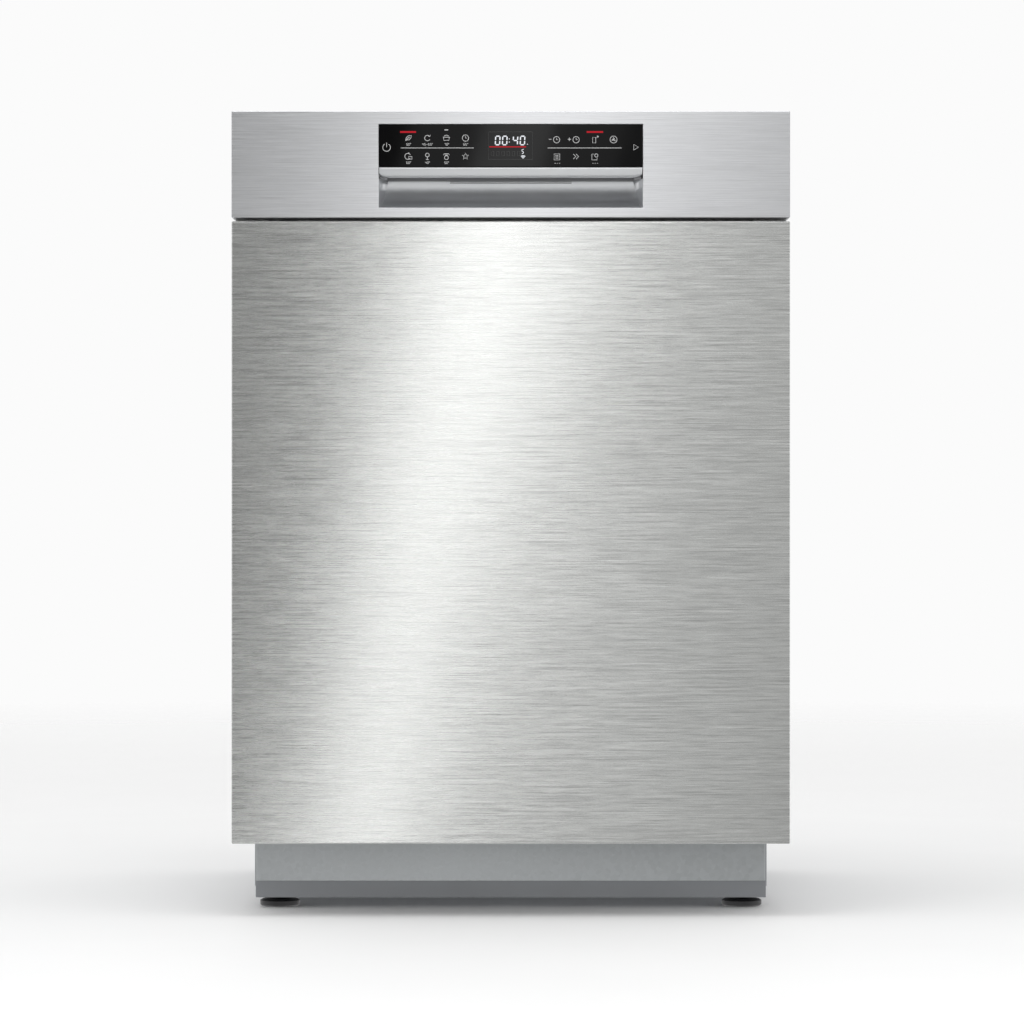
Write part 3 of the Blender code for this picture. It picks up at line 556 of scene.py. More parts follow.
def make_recess():
    """The silver finger pocket: a bowl under a lip, between ends that slant inwards. Its roof above the lip
    has the dark spring-steel look, which is painted shade standing in for the shadow under the bar.
    """
    low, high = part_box("handle_shell")
    bar_low, bar_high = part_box("handle_bar")
    front, deep, floor = low[1], high[1] - 2.2 * MM, low[2] - 0.8 * MM
    lip, roof = bar_low[2] - 1.7 * MM, high[2] - 1.6 * MM
    edge, slant = 1.2, 8.2
    profile = [(front, floor)]
    for i in range(13):
        turn = pi / 2 * i / 12
        y = front + 1.5 * MM + (deep - front - 1.5 * MM) * sin(turn)
        profile.append((y, floor + 0.5 * MM + (lip - floor - 5.5 * MM) * (1 - cos(turn))))
    profile += [(deep, lip - 0.5 * MM), (deep + 0.4 * MM, lip), (deep + 1.4 * MM, lip)]
    bm = bmesh.new()
    columns = []
    for side, _ in SIDES:
        outer, inner = [], []
        for y, z in profile:
            share = (z - floor) / (lip - floor)
            reach = high[0] - (edge + slant * share**0.8) * MM
            outer.append((side * high[0], front, z))
            inner.append((side * reach, y, z))
        columns += [outer, inner] if side < 0 else [inner, outer]
    rows = [[bm.verts.new(p) for p in column] for column in columns]
    for first, second in zip(rows, rows[1:]):
        for k in range(len(profile) - 1):
            bm.faces.new((first[k], first[k + 1], second[k + 1], second[k]))
    bmesh.ops.remove_doubles(bm, verts=bm.verts, dist=1e-6)
    piece = dress("handle_shell", "_pocket", bm, 28)
    thicken(piece, 0.8 * MM)

    half_lip, lip_front, lip_back = 0.0655, deep - 1.6 * MM, deep + 0.4 * MM
    bm = bmesh.new()
    add_block(bm, (-half_lip, lip_front, lip - 1.7 * MM), (half_lip, lip_back, lip), 0.7 * MM, 3)
    finish_mesh("recess_lip", bm, "door", "silver_trim")

    # The roof behind the bar: its dark spring-steel look is painted shade, not the silver trim's own colour.
    bm = bmesh.new()
    back, inside, wall = high[1], bar_high[1] + 0.4 * MM, 0.8 * MM
    outline = [(back - wall, lip + 0.1 * MM), (back, lip + 0.1 * MM), (back, roof + wall)]
    outline += [(inside, roof + wall), (inside, roof), (back - wall, roof)]
    add_prism(bm, outline, "X", (low[0] + wall, high[0] - wall))
    add_block(bm, (-half_lip, lip_front + 1.0 * MM, lip - 2.7 * MM), (half_lip, lip_back, lip - 1.8 * MM))
    for side, _ in SIDES:
        near, far = sorted((side * (high[0] - wall), side * (high[0] - 9.0 * MM)))
        add_block(bm, (near, inside, lip + 0.2 * MM), (far, back - wall, roof), 0.5 * MM)
    finish_mesh("recess_roof_painted_shade", bm, "door", "silver_trim", look="spring_steel")


# ---- printed icons and display

# The ends of a digit's seven strokes, in shares of its width and height, and the strokes of each digit.
SEGMENTS = {"a": ((0, 1), (1, 1)), "b": ((1, 1), (1, 0.5)), "c": ((1, 0.5), (1, 0)), "d": ((0, 0), (1, 0))}
SEGMENTS |= {"e": ((0, 0.5), (0, 0)), "f": ((0, 1), (0, 0.5)), "g": ((0, 0.5), (1, 0.5))}
DIGITS = {"0": "abcdef", "4": "fgbc", "5": "afgcd", "6": "afgcde", "7": "abc"}


class Print:
    """Marks on the glass, drawn with a round stroke.

    Places are in millimetres: across from the glass's middle and down from its top edge.
    """

    def __init__(self, name, look, stroke, lift=0.0):
        low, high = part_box("control_glass")
        self.name, self.look, self.stroke = name, look, stroke
        self.origin = Vector((0, low[1] - lift, high[2]))
        self.bm = bmesh.new()

    def line(self, points, closed=False, stroke=None):
        path = [self.origin + Vector((x * MM, 0, -down * MM)) for x, down in points]
        add_wire(self.bm, path, (stroke or self.stroke) * MM, 8, closed=closed, flat=0.25)

    def ring(self, x, down, radius, start=0, end=360):
        turn, whole = arc((x, down), radius, start, end, 20), end - start >= 360
        self.line(turn[:-1] if whole else turn, whole)

    def digits(self, text, x, down, width, height, step, stroke=None, lean=0.0):
        for i, mark in enumerate(text):
            left = x + step * i
            if mark == "-":
                self.line([(left, down - height / 2), (left + width, down - height / 2)], stroke=stroke)
            for name in DIGITS.get(mark, ""):
                ends = [(left + u * width + v * lean, down - v * height) for u, v in SEGMENTS[name]]
                start, end = map(Vector, ends)
                gap = (end - start) * 0.12
                self.line([start + gap, end - gap], stroke=stroke)

    def degrees(self, text, x, down):
        """A small temperature with its degree ring, centred on x."""
        width, height, step = 1.25, 2.3, 2.1
        start = x - (step * len(text)) / 2
        self.digits(text, start, down + height / 2, width, height, step, 0.2)
        turn = arc((start + step * len(text) + 0.2, down - height / 2 + 0.3), 0.42, 0, 330, 8)
        self.line(turn, closed=True, stroke=0.15)

    def icon(self, name, x, down):
        for kind, *marks in ICONS[name]:
            if kind == "ring":
                across, below, radius, *span = marks
                self.ring(x + across, down + below, radius, *span)
            else:
                thin = 0.25 if kind == "thin" else None
                self.line([(x + u, down + v) for u, v in marks], kind == "loop", thin)

    def finish(self, slot):
        finish_mesh(self.name, self.bm, "door", slot, look=self.look, angle=60)


def fan_blade(angle):
    side, tip = (1.6 * cos(angle + 0.7), 1.6 * sin(angle + 0.7)), (2.5 * cos(angle), 2.5 * sin(angle))
    return ("line", (0, 0), side, tip, (0, 0))


def star_corner(i):
    radius, angle = 1.6 if i % 2 else 3.6, tau * i / 10 - pi / 2
    return (radius * cos(angle), radius * sin(angle))


# A mark is a kind with its points, or a ring's middle, radius and span. Places are from the icon's middle.
ICONS = {
    "pot": (
        ("line", (-3.6, -0.9), (3.6, -0.9)),
        ("line", (-2.9, -0.9), (-2.9, 2.4), (2.9, 2.4), (2.9, -0.9)),
        ("line", (-2.6, -2.2), (0, -3.1), (2.6, -2.2)),
    ),
    "clock": (("ring", 0, 0, 3.4), ("line", (0, -2.04), (0, 0), (1.53, 0))),
    "leaf": (
        ("line", (-3, 2.4), (-2.2, -0.6), (0.4, -2.4), (3.2, -2.8), (2.7, 0)),
        ("line", (2.7, 0), (0.9, 1.9), (-1.8, 1.9)),
        ("line", (-3, 2.9), (-0.5, 0.2), (1.4, -1.1)),
    ),
    "turn": (("ring", 0, 0, 2.9, 30, 320), ("line", (1.0, -2.1), (2.6, -1.6), (3.2, -3.2))),
    "plates": (
        ("ring", -0.6, 0, 3.2, 40, 330),
        ("line", (-0.6, -3.2), (0.8, -3.9)),
        ("loop", (0.2, 0.2), (3.8, 0.2), (3.8, 3.0), (0.2, 3.0)),
    ),
    "glass": (("ring", 0, -1.4, 2.0), ("line", (0, 0.6), (0, 3.3)), ("line", (-1.5, 3.4), (1.5, 3.4))),
    "drops": (
        ("line", (-3.2, -1.4), (-2.2, -2.8), (2.2, -2.8), (3.2, -1.4)),
        ("ring", 0, 1.4, 2.1),
        ("line", (-1.6, -1.4), (1.6, -1.4)),
    ),
    "star": (("loop", *map(star_corner, range(10))),),
    "remote": (
        ("loop", (-2.0, -2.6), (1.3, -2.6), (1.3, 3.2), (-2.0, 3.2)),
        ("line", (2.2, -2.3), (3.9, -4.0)),
        ("line", (2.6, -4.1), (4.0, -4.1), (4.0, -2.7)),
    ),
    "fan": (("ring", 0, 0, 3.7), *(fan_blade(tau * i / 3 + 0.5) for i in range(3))),
    "list": (
        ("loop", (-3, -3.2), (3, -3.2), (3, 3.2), (-3, 3.2)),
        *(("thin", (-1.6, down), (1.6, down)) for down in (-1.4, 0, 1.4)),
    ),
    "speed": tuple(("line", (left, -2.6), (left + 2.6, 0), (left, 2.6)) for left in (-2.6, 0.4)),
    "cloth": (
        ("line", (-1.0, -3.0), (-3.0, -3.0), (-3.0, 3.2), (2.6, 3.2), (2.6, 1.0)),
        ("ring", 1.7, -1.6, 1.7),
    ),
}


def make_print():
    """All that is printed on the glass or lit behind it: icons, numbers and lines, with no words."""
    ink = Print("glass_print", "print", 0.29)
    ink.ring(-132.9, 24.7, 4.1, -60, 240)
    columns = (-109.6, -89.3, -68.9, -48.5)
    rows = (
        (14.6, ("leaf", "turn", "pot", "clock"), 21.4, ("50", "45-65", "70", "65")),
        (34.2, ("plates", "glass", "drops", "star"), 41.0, ("60", "40", "50")),
    )
    for down, icons, below, texts in rows:
        for name, x in zip(icons, columns):
            ink.icon(name, x, down)
        for text, x in zip(texts, columns):
            ink.degrees(text, x, below)
    right = [("clock", 49.0, 16.4), ("clock", 69.9, 16.4), ("remote", 89.6, 16.6), ("fan", 110.0, 16.2)]
    right += [("list", 49.4, 34.8), ("speed", 69.6, 34.4), ("cloth", 89.8, 34.8)]
    for name, x, down in right:
        ink.icon(name, x, down)
    power, minus = ((-132.9, 19.6), (-132.9, 24.4)), ((40.6, 15.9), (43.4, 15.9))
    plus = ((61.0, 15.9), (64.4, 15.9)), ((62.7, 14.2), (62.7, 17.6))
    for points in (power, minus, *plus):
        ink.line(points)
    ink.line([(-71.0, 5.9), (-67.0, 5.9)], stroke=0.5)
    for start, end in ((-117.8, -39.6), (39.5, 118.4)):
        ink.line([(start, 25.2), (end, 25.2)], stroke=0.30)
    for x in (49.4, 89.8):
        for left in (x - 2.4, x, x + 2.4):
            ink.line([(left, 41.6), (left + 1.0, 41.6)], stroke=0.25)
    ink.line([(131.6, 21.4), (131.6, 27.4), (136.6, 24.4)], closed=True, stroke=0.42)
    ink.finish("black_glass")

    faint = Print("display_ghosts", "faint", 0.3, 0.02 * MM)
    faint.line([(-23.9, 8.0), (23.2, 8.0), (23.2, 37.4), (-23.9, 37.4)], closed=True, stroke=0.25)
    for i in range(6):
        x = -19.5 + 5.6 * i
        faint.line([(x - 1.4, 29.0), (x + 1.4, 29.0), (x + 1.4, 33.6), (x - 1.4, 33.6)], closed=True)
    faint.finish("display")

    white = Print("display_digits", "white_led", 0.62, 0.03 * MM)
    for text, x in (("00", -16.6), ("40", 2.4)):
        white.digits(text, x, 21.8, 4.6, 9.2, 7.6, lean=0.5)
    for middle in (15.52, 18.88):
        white.line([(-1.6, middle - 0.4), (-1.6, middle + 0.4)], stroke=0.5)
    white.line([(17.9, 20.9), (17.9, 21.6)], stroke=0.45)
    white.line([(13.6, 29.5), (11.8, 28.4), (12.0, 27.0), (13.8, 26.6)], stroke=0.34)
    white.line([(12.0, 31.6), (13.6, 30.4), (13.6, 29.4)], stroke=0.34)
    for radius in (1.1, 2.3, 3.5):
        white.line(arc((13.2, 37.0), radius, -130, -50, 8), stroke=0.4)
    white.finish("display")

    red = Print("red_lights", "red_led", 0.95, 0.03 * MM)
    red.line([(-118.4, 8.1), (-101.4, 8.1)])
    red.line([(81.2, 8.1), (98.8, 8.1)])
    red.line([(-23.0, 24.0), (16.4, 24.0)], stroke=0.6)
    red.finish("display")


# ---- the rest of the machine


def add_loft(bm, rings, closed=False):
    """Joins outlines with equally many points, given as lists of 3D points."""
    rows = [[bm.verts.new(p) for p in ring] for ring in rings]
    for first, second in list(zip(rows, rows[1:])) + ([(rows[-1], rows[0])] if closed else []):
        bridge(bm, first, second)
    return rows


def add_screws(bm, places, axis, sign, radius):
    """Pan-head screws with a socket, on a face that looks along the axis."""
    profile = [(0, 0.7), (0.42, 0.7), (0.46, 1.5), (0.75, 1.4), (0.95, 0.8), (1.0, 0), (0.9, -0.4), (0, -0.4)]
    for place in places:
        add_turned(bm, [(r * radius, h * MM * sign) for r, h in profile], place, axis, 14)


def spaced(low, high, count):
    return [low + (high - low) * i / (count - 1) for i in range(count)]


def dress(node, ending, bm, angle=35, rides=True):
    """The shown piece of one CAD node, with that node's body, slot and look."""
    body, slot = frame["nodes"][node]["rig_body"] if rides else None, SLOTS[node]
    look = "scoop" if node == "handle_shell" else None
    return finish_mesh(node + ending, bm, body, slot, [node], look, angle)


def refine(node, bevel, extra=None):
    """A CAD node made again with rounded edges and with the details that extra adds."""
    bm = bmesh.new()
    bm.from_mesh(frame["nodes"][node].data)
    bmesh.ops.remove_doubles(bm, verts=bm.verts, dist=1e-6)
    bmesh.ops.dissolve_limit(bm, angle_limit=radians(0.6), verts=bm.verts, edges=bm.edges)
    edges = [e for e in bm.edges if len(e.link_faces) == 2 and e.calc_face_angle() > radians(38)]
    bmesh.ops.bevel(bm, geom=edges, offset=bevel * MM, segments=2, profile=0.5, affect="EDGES")
    if extra:
        extra(bm)
    return dress(node, "_piece", bm)


def add_basket(bm, x, y, z, levels):
    """An open basket of U-shaped wires, with level wires round it at shares of its height and at its rim."""
    bend, radius, rim = 0.014, 1.5 * MM, 1.9 * MM
    for u in spaced(x[0] + 0.02, x[1] - 0.02, 13):
        path = [(u, y[0], z[1]), (u, y[0], z[0]), (u, y[1], z[0]), (u, y[1], z[1])]
        add_wire(bm, path, radius, 7, bend)
    for v in spaced(y[0] + 0.02, y[1] - 0.02, 11):
        floor = z[0] + 1.7 * radius
        path = [(x[0], v, z[1]), (x[0], v, floor), (x[1], v, floor), (x[1], v, z[1])]
        add_wire(bm, path, radius, 7, bend)
    for share in (*levels, 1.0):
        level = z[0] + (z[1] - z[0]) * share
        loop = [(*p, level) for p in rounded((x[0], y[0]), (x[1], y[1]), 0.018, 5)]
        add_wire(bm, loop, rim if share == 1 else radius, 8, closed=True)


def add_grip(bm, y, z, half=0.069):
    """A moulded handle on a basket's front rim: a bowed bar over a finger gap."""
    top, bottom = z
    bow = [(x, y, bottom + 0.004 + 0.005 * (x / half) ** 2) for x in spaced(-half, half, 15)]
    add_wire(bm, bow, 3.0 * MM, 10)
    add_block(bm, (-half, y - 0.003, top - 0.008), (half, y + 0.004, top), 1.5 * MM, 3)
    for side, _ in SIDES:
        end = side * half
        add_block(bm, (end - 0.004, y - 0.003, bottom), (end + 0.004, y + 0.004, top), 1.5 * MM, 3)


def make_lower_rack():
    bm = bmesh.new()
    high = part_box("lower_basket")[1]
    x, y, z = (-0.230, 0.230), (-0.190, 0.238), (0.217, 0.338)
    add_basket(bm, x, y, z, (0.28, 0.62))
    add_grip(bm, y[0] - 0.0025, (high[2], high[2] - 0.028))
    for side, word in SIDES:
        for wheel_y, place in ((-0.100, "front"), (0.180, "rear")):
            half = [(0.040, 0.2185), (0.040, 0.212), (0.014, 0.1925)]
            outline = [(wheel_y - u, v) for u, v in half] + [(wheel_y + u, v) for u, v in reversed(half)]
            add_prism(bm, outline, "X", sorted((side * 0.2285, side * 0.2400)), 1.2 * MM)
            axle = [(0, 0.2385), (4.0 * MM, 0.2385), (4.0 * MM, 0.2590), (3.0 * MM, 0.2600), (0, 0.2600)]
            add_turned(bm, [(r, side * h) for r, h in axle], (0, wheel_y, 0.200), "X", 20)
            make_wheel(f"wheel_{place}_{word}", wheel_y)
    dress("lower_basket", "_wires", bm)
    for name, row in (("lower_tines_front", -0.060), ("lower_tines_rear", 0.090)):
        make_tines(name, lambda u, v, row=row: (u, row, v), 0.205, 0.223, 0.2995, 11)


def make_wheel(node, y):
    """A roller with a tyre, a thin web, five spokes and a hub."""
    low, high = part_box(node)
    radius, centre = (high[2] - low[2]) / 2, ((low[0] + high[0]) / 2, y, (low[2] + high[2]) / 2)
    half = (high[0] - low[0]) / 2
    web = half * 0.35
    profile = [(4.5 * MM, -half), (8.0 * MM, -half), (8.6 * MM, -web), (radius - 4.2 * MM, -web)]
    profile += [(radius - 3.6 * MM, -half), (radius - 0.8 * MM, -half), (radius, -half * 0.8)]
    profile += [(r, -h) for r, h in reversed(profile)]
    bm = bmesh.new()
    add_turned(bm, profile, centre, "X", 40)
    for i in range(5):
        angle = tau * i / 5
        made = bmesh.ops.create_cube(bm, size=1.0)["verts"]
        shape = Matrix.Diagonal((half * 1.7, 2.4 * MM, radius - 11.0 * MM, 1))
        turn = Matrix.Rotation(angle, 4, "X") @ Matrix.Translation((0, 0, (radius + 4.4 * MM) / 2))
        bmesh.ops.transform(bm, matrix=Matrix.Translation(centre) @ turn @ shape, verts=made)
    dress(node, "_roller", bm)


def make_tines(node, place, half, base, top, count):
    """A folding row of hairpin tines on a wire that turns in a bearing at each end."""
    bm = bmesh.new()
    add_wire(bm, [place(-half, base), place(half, base)], 1.9 * MM, 8)
    gap = 4.2 * MM
    for u in spaced(-half + 0.008, half - 0.008, count):
        path = [(u - gap, base), (u - gap * 0.7, top), (u + gap * 0.7, top), (u + gap, base)]
        add_wire(bm, [place(*p) for p in path], 1.35 * MM, 7, 0.0028)
    dress(node, "_hairpins", bm)


def make_upper_rack():
    bm = bmesh.new()
    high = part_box("upper_basket")[1]
    x, y, z = (-0.238, 0.238), (-0.208, 0.215), (0.522, 0.652)
    add_basket(bm, x, y, z, (0.32, 0.70))
    add_grip(bm, y[0] - 0.0005, (high[2], high[2] - 0.027))
    for side, _ in SIDES:
        flank = sorted((side * 0.2480, side * 0.2540))
        add_block(bm, (flank[0], -0.214, 0.599), (flank[1], 0.196, 0.611), 1.2 * MM, 2)
        for hanger in (-0.067, 0.074):
            span = sorted((side * 0.2375, side * 0.2490))
            add_block(bm, (span[0], hanger - 0.016, 0.594), (span[1], hanger + 0.016, 0.618), 1.5 * MM, 2)
    add_block(bm, (-0.012, -0.010, 0.508), (0.012, 0.2435, 0.5205), 3.5 * MM, 4)
    boss = [(0, 0.5085), (15.0 * MM, 0.5085), (16.0 * MM, 0.511), (16.0 * MM, 0.521), (0, 0.521)]
    add_turned(bm, boss, (0, 0, 0), "Z")
    dress("upper_basket", "_wires", bm)
    make_tines("upper_tines", lambda u, v: (0.060, u, v), 0.150, 0.528, 0.5865, 8)


def make_spray_arm(node, centre):
    """A hollow-looking arm, rounded across, with a hub cap and rows of nozzles."""
    low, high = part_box(node)
    reach, bottom, top = high[0] - centre[0], low[2], high[2] - 4.6 * MM
    middle, half = (top + bottom) / 2, (top - bottom) / 2
    bm = bmesh.new()
    rings = []
    for u in [-cos(pi * i / 28) for i in range(1, 28)]:
        width = (0.0235 - 0.0108 * abs(u) ** 0.8) * min(1.0, (1 - abs(u)) * 22) ** 0.5
        height = half * min(1.0, (1 - abs(u)) * 30) ** 0.5
        ring = []
        for k in range(20):
            c, s = cos(tau * k / 20), sin(tau * k / 20)
            across, up = copysign(abs(c) ** 0.7, c), copysign(abs(s) ** 0.7, s)
            ring.append((centre[0] + reach * u, centre[1] + across * width, middle + up * height))
        rings.append(ring)
    rows = add_loft(bm, rings)
    bm.faces.new(rows[0])
    bm.faces.new(rows[-1])
    hub = [(0, 0), (27, 0), (28.5, 1.5), (28.5, 4.5), (26, 6.4), (14, 8.0), (9, 8.4), (8, 7.6), (0, 7.6)]
    lift = high[2] - 8.4 * MM
    add_turned(bm, [(r * MM, lift + h * MM) for r, h in hub], (*centre, 0), "Z", 40)
    collar = [(0, -1.5), (1.3, -1.5), (1.3, 0.5), (2.0, 0.9), (3.2, 0.5), (3.9, -0.6), (3.9, -2.5), (0, -2.5)]
    for i, u in enumerate((-0.92, -0.76, -0.60, -0.44, -0.28, 0.24, 0.40, 0.56, 0.72, 0.88)):
        spot = (centre[0] + reach * u, centre[1] + (0.004 if i % 2 else -0.004), top)
        add_turned(bm, [(r * MM, h * MM) for r, h in collar], spot, "Z", 16)
    dress(node, "_piece", bm, 50)


def make_liner():
    """The door's inner sheet: a flat border, a pressed dish, and a hole for the dispenser."""
    low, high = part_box("door_liner")
    front, back = low[1], high[1] - 1.0 * MM
    half, bottom, top = 0.2625, 0.1795, 0.8325
    groove = back - 1.2 * MM
    dish = [(0, 24, front), (1.7, 23, front + 0.5 * MM), (3.5, 22, back - 2.0 * MM)]
    dish += [(5.3, 21, back - 0.5 * MM), (7.5, 20, back), (27.5, 16, back), (29.0, 15, groove)]
    dish += [(36.0, 14, groove), (37.5, 13, back)]
    stages = [(0.2975, low[2], high[2], 4, front)]
    stages += [(half - step * MM, bottom + step * MM, top - step * MM, r, y) for step, r, y in dish]
    stages += [(0.0955, 0.3695, 0.4805, 3, back)]
    bm = bmesh.new()
    rings = []
    for x, z0, z1, radius, y in stages:
        rings.append([(u, y, v) for u, v in rounded((-x, z0), (x, z1), radius * MM)])
    add_loft(bm, rings)
    piece = dress("door_liner", "_sheet", bm, 40)
    thicken(piece, 1.0 * MM)


def make_seal():
    """The rubber ring between tub and door: a root, a bulb and a lip."""
    low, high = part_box("tub_seal")
    profile = [(0.0, 1.0), (1.2, 0.25), (3.4, 0.0), (5.6, 0.3)]
    profile += [(6.2, 0.62), (8.6, 0.8), (10.2, 0.9), (10.2, 1.0)]
    bm = bmesh.new()
    rings = []
    for inset, depth in profile:
        y = low[1] + (high[1] - low[1]) * depth
        spread = inset * MM
        corners = (low[0] + spread, low[2] + spread), (high[0] - spread, high[2] - spread)
        outline = rounded(*corners, 0.026 - spread, 8)
        rings.append([(x, y, z) for x, z in outline])
    add_loft(bm, rings, closed=True)
    dress("tub_seal", "_ring", bm)


def make_spring(side, word):
    """The spring that balances the door. Its front rod joins the fixed coil to the moving hinge arm."""
    node = "door_spring_" + word
    low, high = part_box(node)
    x, z = side * 0.2885, 0.150
    start, end, turns, steps, coil, lead, inset = -0.020, 0.165, 46, 10, 0.0050, 0.006, 0.001
    path = [(x, low[1] + inset, z), (x, start - lead, z)]
    for i in range(turns * steps + 1):
        angle = tau * i / steps
        along = start + (end - start) * i / (turns * steps)
        path.append((x + coil * cos(angle), along, z + coil * sin(angle)))
    path += [(x, end + lead, z), (x, high[1] - inset, z)]
    bm = bmesh.new()
    add_wire(bm, path, 1.0 * MM, 6)
    piece = dress(node, "_coil", bm, 80, rides=False)
    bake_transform(piece)


def make_mat(node, thin_axis):
    """A felt mat, crowned between its pressed edges, with sewn-down dimples."""
    low, high = (Vector(v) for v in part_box(node))
    size, count, steps = high - low, 36, range(37)
    wide, long = (axis for axis in range(3) if axis != thin_axis)

    def spot(i, k, upper):
        u, v = i / count, k / count
        place = low.copy()
        place[wide] += size[wide] * u
        place[long] += size[long] * v
        crown = min(1.0, 9 * min(u, 1 - u, v, 1 - v)) ** 0.5
        dimple = 1 - 0.45 * abs(sin(3 * pi * u) * sin(4 * pi * v)) ** 6
        wave = 1 - 0.07 * (sin(17 * u + 5 * v) + sin(23 * v - 7 * u) + 2) / 4
        swell = size[thin_axis] / 2 * (1 + max(0.16, crown * dimple * wave))
        place[thin_axis] += swell if upper else 0.2 * MM
        return place

    bm = bmesh.new()
    sheets = [[[bm.verts.new(spot(i, k, upper)) for k in steps] for i in steps] for upper in (False, True)]
    for grid in sheets:
        for left, right in zip(grid, grid[1:]):
            for k in range(count):
                bm.faces.new((left[k], right[k], right[k + 1], left[k + 1]))
    rim = [(i, 0) for i in range(count)] + [(count, k) for k in range(count)]
    rim += [(count - i, count - k) for i, k in rim]
    bridge(bm, *([grid[i][k] for i, k in rim] for grid in sheets))
    piece = dress(node, "_mat", bm, 60)


def make_foot(node):
    """A levelling foot: a ribbed pad under a threaded stud."""
    x, y, radius, bottom, top = round_node(node)
    stud, pitch, thread_start = 5.8 * MM, 1.75 * MM, 0.0115
    profile = [(0, 0), (radius - 2 * MM, 0), (radius, 1.5 * MM), (radius, 6.0 * MM)]
    profile += [(radius - 2.5 * MM, 7.5 * MM), (9.0 * MM, 9.0 * MM), (8.0 * MM, 10.5 * MM)]
    for i in range(int((top - thread_start - 1.0 * MM) / pitch)):
        base = thread_start + pitch * i
        profile += [(stud - 1.0 * MM, base), (stud, base + pitch / 2)]
    profile += [(stud - 1.5 * MM, top), (0, top)]
    bm = bmesh.new()
    add_turned(bm, profile, (x, y, bottom), "Z", 24)
    dress(node, "_threaded", bm)


def tray_ribs(bm):
    """Upright stiffening ribs on the tray's back and sides."""
    for x in spaced(-0.12, 0.16, 8):
        add_block(bm, (x - 0.0015, 0.2758, 0.030), (x + 0.0015, 0.2785, 0.150), 0.8 * MM)
    for y in spaced(-0.16, 0.25, 9):
        for x in (-0.2805, 0.2805):
            add_block(bm, (x - 0.0015, y - 0.0015, 0.022), (x + 0.0015, y + 0.0015, 0.094), 0.8 * MM)


def drawer_combs(bm):
    """Rows of short prongs that keep the cutlery apart, and thin wires between the floor's bars."""
    low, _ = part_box("cutlery_drawer")
    floor = low[2] + 1.5 * MM
    for x in spaced(-0.215, 0.215, 6):
        add_block(bm, (x - 0.0016, -0.205, floor), (x + 0.0016, 0.198, floor + 0.006), 0.6 * MM, 1)
        for y in spaced(-0.195, 0.188, 24):
            top = floor + (0.024 if abs(x) < 0.15 else 0.017)
            add_wire(bm, [(x, y, floor + 0.004), (x, y, top)], 1.5 * MM, 6)
    for y in spaced(-0.19, 0.183, 30):
        add_wire(bm, [(-0.256, y, floor + 0.001), (0.256, y, floor + 0.001)], 1.0 * MM, 5)


def lid_marks(bm):
    """Three raised ridges near the edge of the sliding lid."""
    low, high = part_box("dispenser_lid")
    face, bottom, top = high[1] - 0.3 * MM, low[2] + 0.018, high[2] - 0.018
    for i in range(3):
        x = high[0] - 0.012 - 0.006 * i
        add_block(bm, (x - 0.0012, face - 0.001, bottom), (x + 0.0012, face + 0.001, top), 0.6 * MM)


def cap_marks(bm):
    """A finger ridge on the rinse-aid cap."""
    low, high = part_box("rinse_aid_cap")
    x, face, top = (low[0] + high[0]) / 2, high[1] - 0.3 * MM, high[2] - 0.007
    add_block(bm, (x - 0.012, face - 0.001, top - 0.004), (x + 0.012, face + 0.001, top), 0.9 * MM)


def round_node(node):
    """Middle, radius, bottom and top of a node that is round about Z."""
    low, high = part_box(node)
    return (low[0] + high[0]) / 2, (low[1] + high[1]) / 2, (high[0] - low[0]) / 2, low[2], high[2]


def add_slats(bm, x, y, radius, span, count, thickness, sides):
    """Upright wires in a circle."""
    for k in range(count):
        foot = (x + radius * cos(tau * k / count), y + radius * sin(tau * k / count))
        add_wire(bm, [(*foot, z) for z in span], thickness, sides)


def filter_bars(bm):
    """A cross-shaped grip and upright slats round the filter's basket."""
    x, y, radius, bottom, top = round_node("filter_cylinder")
    add_slats(bm, x, y, radius - 1.4 * MM, (bottom + 0.004, top - 0.006), 36, 1.3 * MM, 5)
    middle = Vector((x, y, top - 0.0035))
    for turn in (0.0, pi / 2):
        across = Vector((cos(turn), sin(turn), 0)) * (radius - 0.004)
        add_wire(bm, [middle - across, middle + across], 3.0 * MM, 8)


def plate_slots(bm):
    """Two raised rings between the filter plate's fine holes, broken where the filter's rim stands."""
    x, y, _, _, top = round_node("filter_plate")
    rim, clear = Vector((0.075, -0.055)), 0.052
    for radius in (0.116, 0.100):
        turn = arc((x, y), radius, -42, 318, 60)
        loop = [(*p, top - 0.2 * MM) for p in turn if (Vector(p) - rim).length > clear]
        add_wire(bm, loop, 0.9 * MM, 6)


def cap_ribs(bm):
    """Grip ribs round the salt cap."""
    x, y, radius, bottom, top = round_node("salt_cap")
    add_slats(bm, x, y, radius - 1.5 * MM, (bottom + 0.0185, top - 0.0045), 28, 1.4 * MM, 6)


def make_details():
    """The screws of the cabinet and of the door's inner sheet."""
    bm = bmesh.new()
    for side, _ in SIDES:
        places = [(side * 0.2973, -0.212, z) for z in (0.34, 0.54, 0.74, 0.845)]
        places += [(side * 0.2973, 0.268, z) for z in (0.125, 0.34, 0.54, 0.74, 0.845)]
        add_screws(bm, places, "X", side, 3.2 * MM)
    rear = [(x, 0.2848, z) for x in (-0.272, 0.0, 0.272) for z in (0.185, 0.785)]
    add_screws(bm, rear, "Y", 1, 3.2 * MM)
    finish_mesh("cabinet_screws", bm, "cabinet", SLOTS["side_panel_left"], look="spring_steel")
    bm = bmesh.new()
    places = [(side * 0.2915, -0.2442, z) for side, _ in SIDES for z in (0.20, 0.36, 0.52, 0.68, 0.83)]
    add_screws(bm, places, "Y", 1, 3.4 * MM)
    finish_mesh("door_screws", bm, "door", SLOTS["door_liner"])


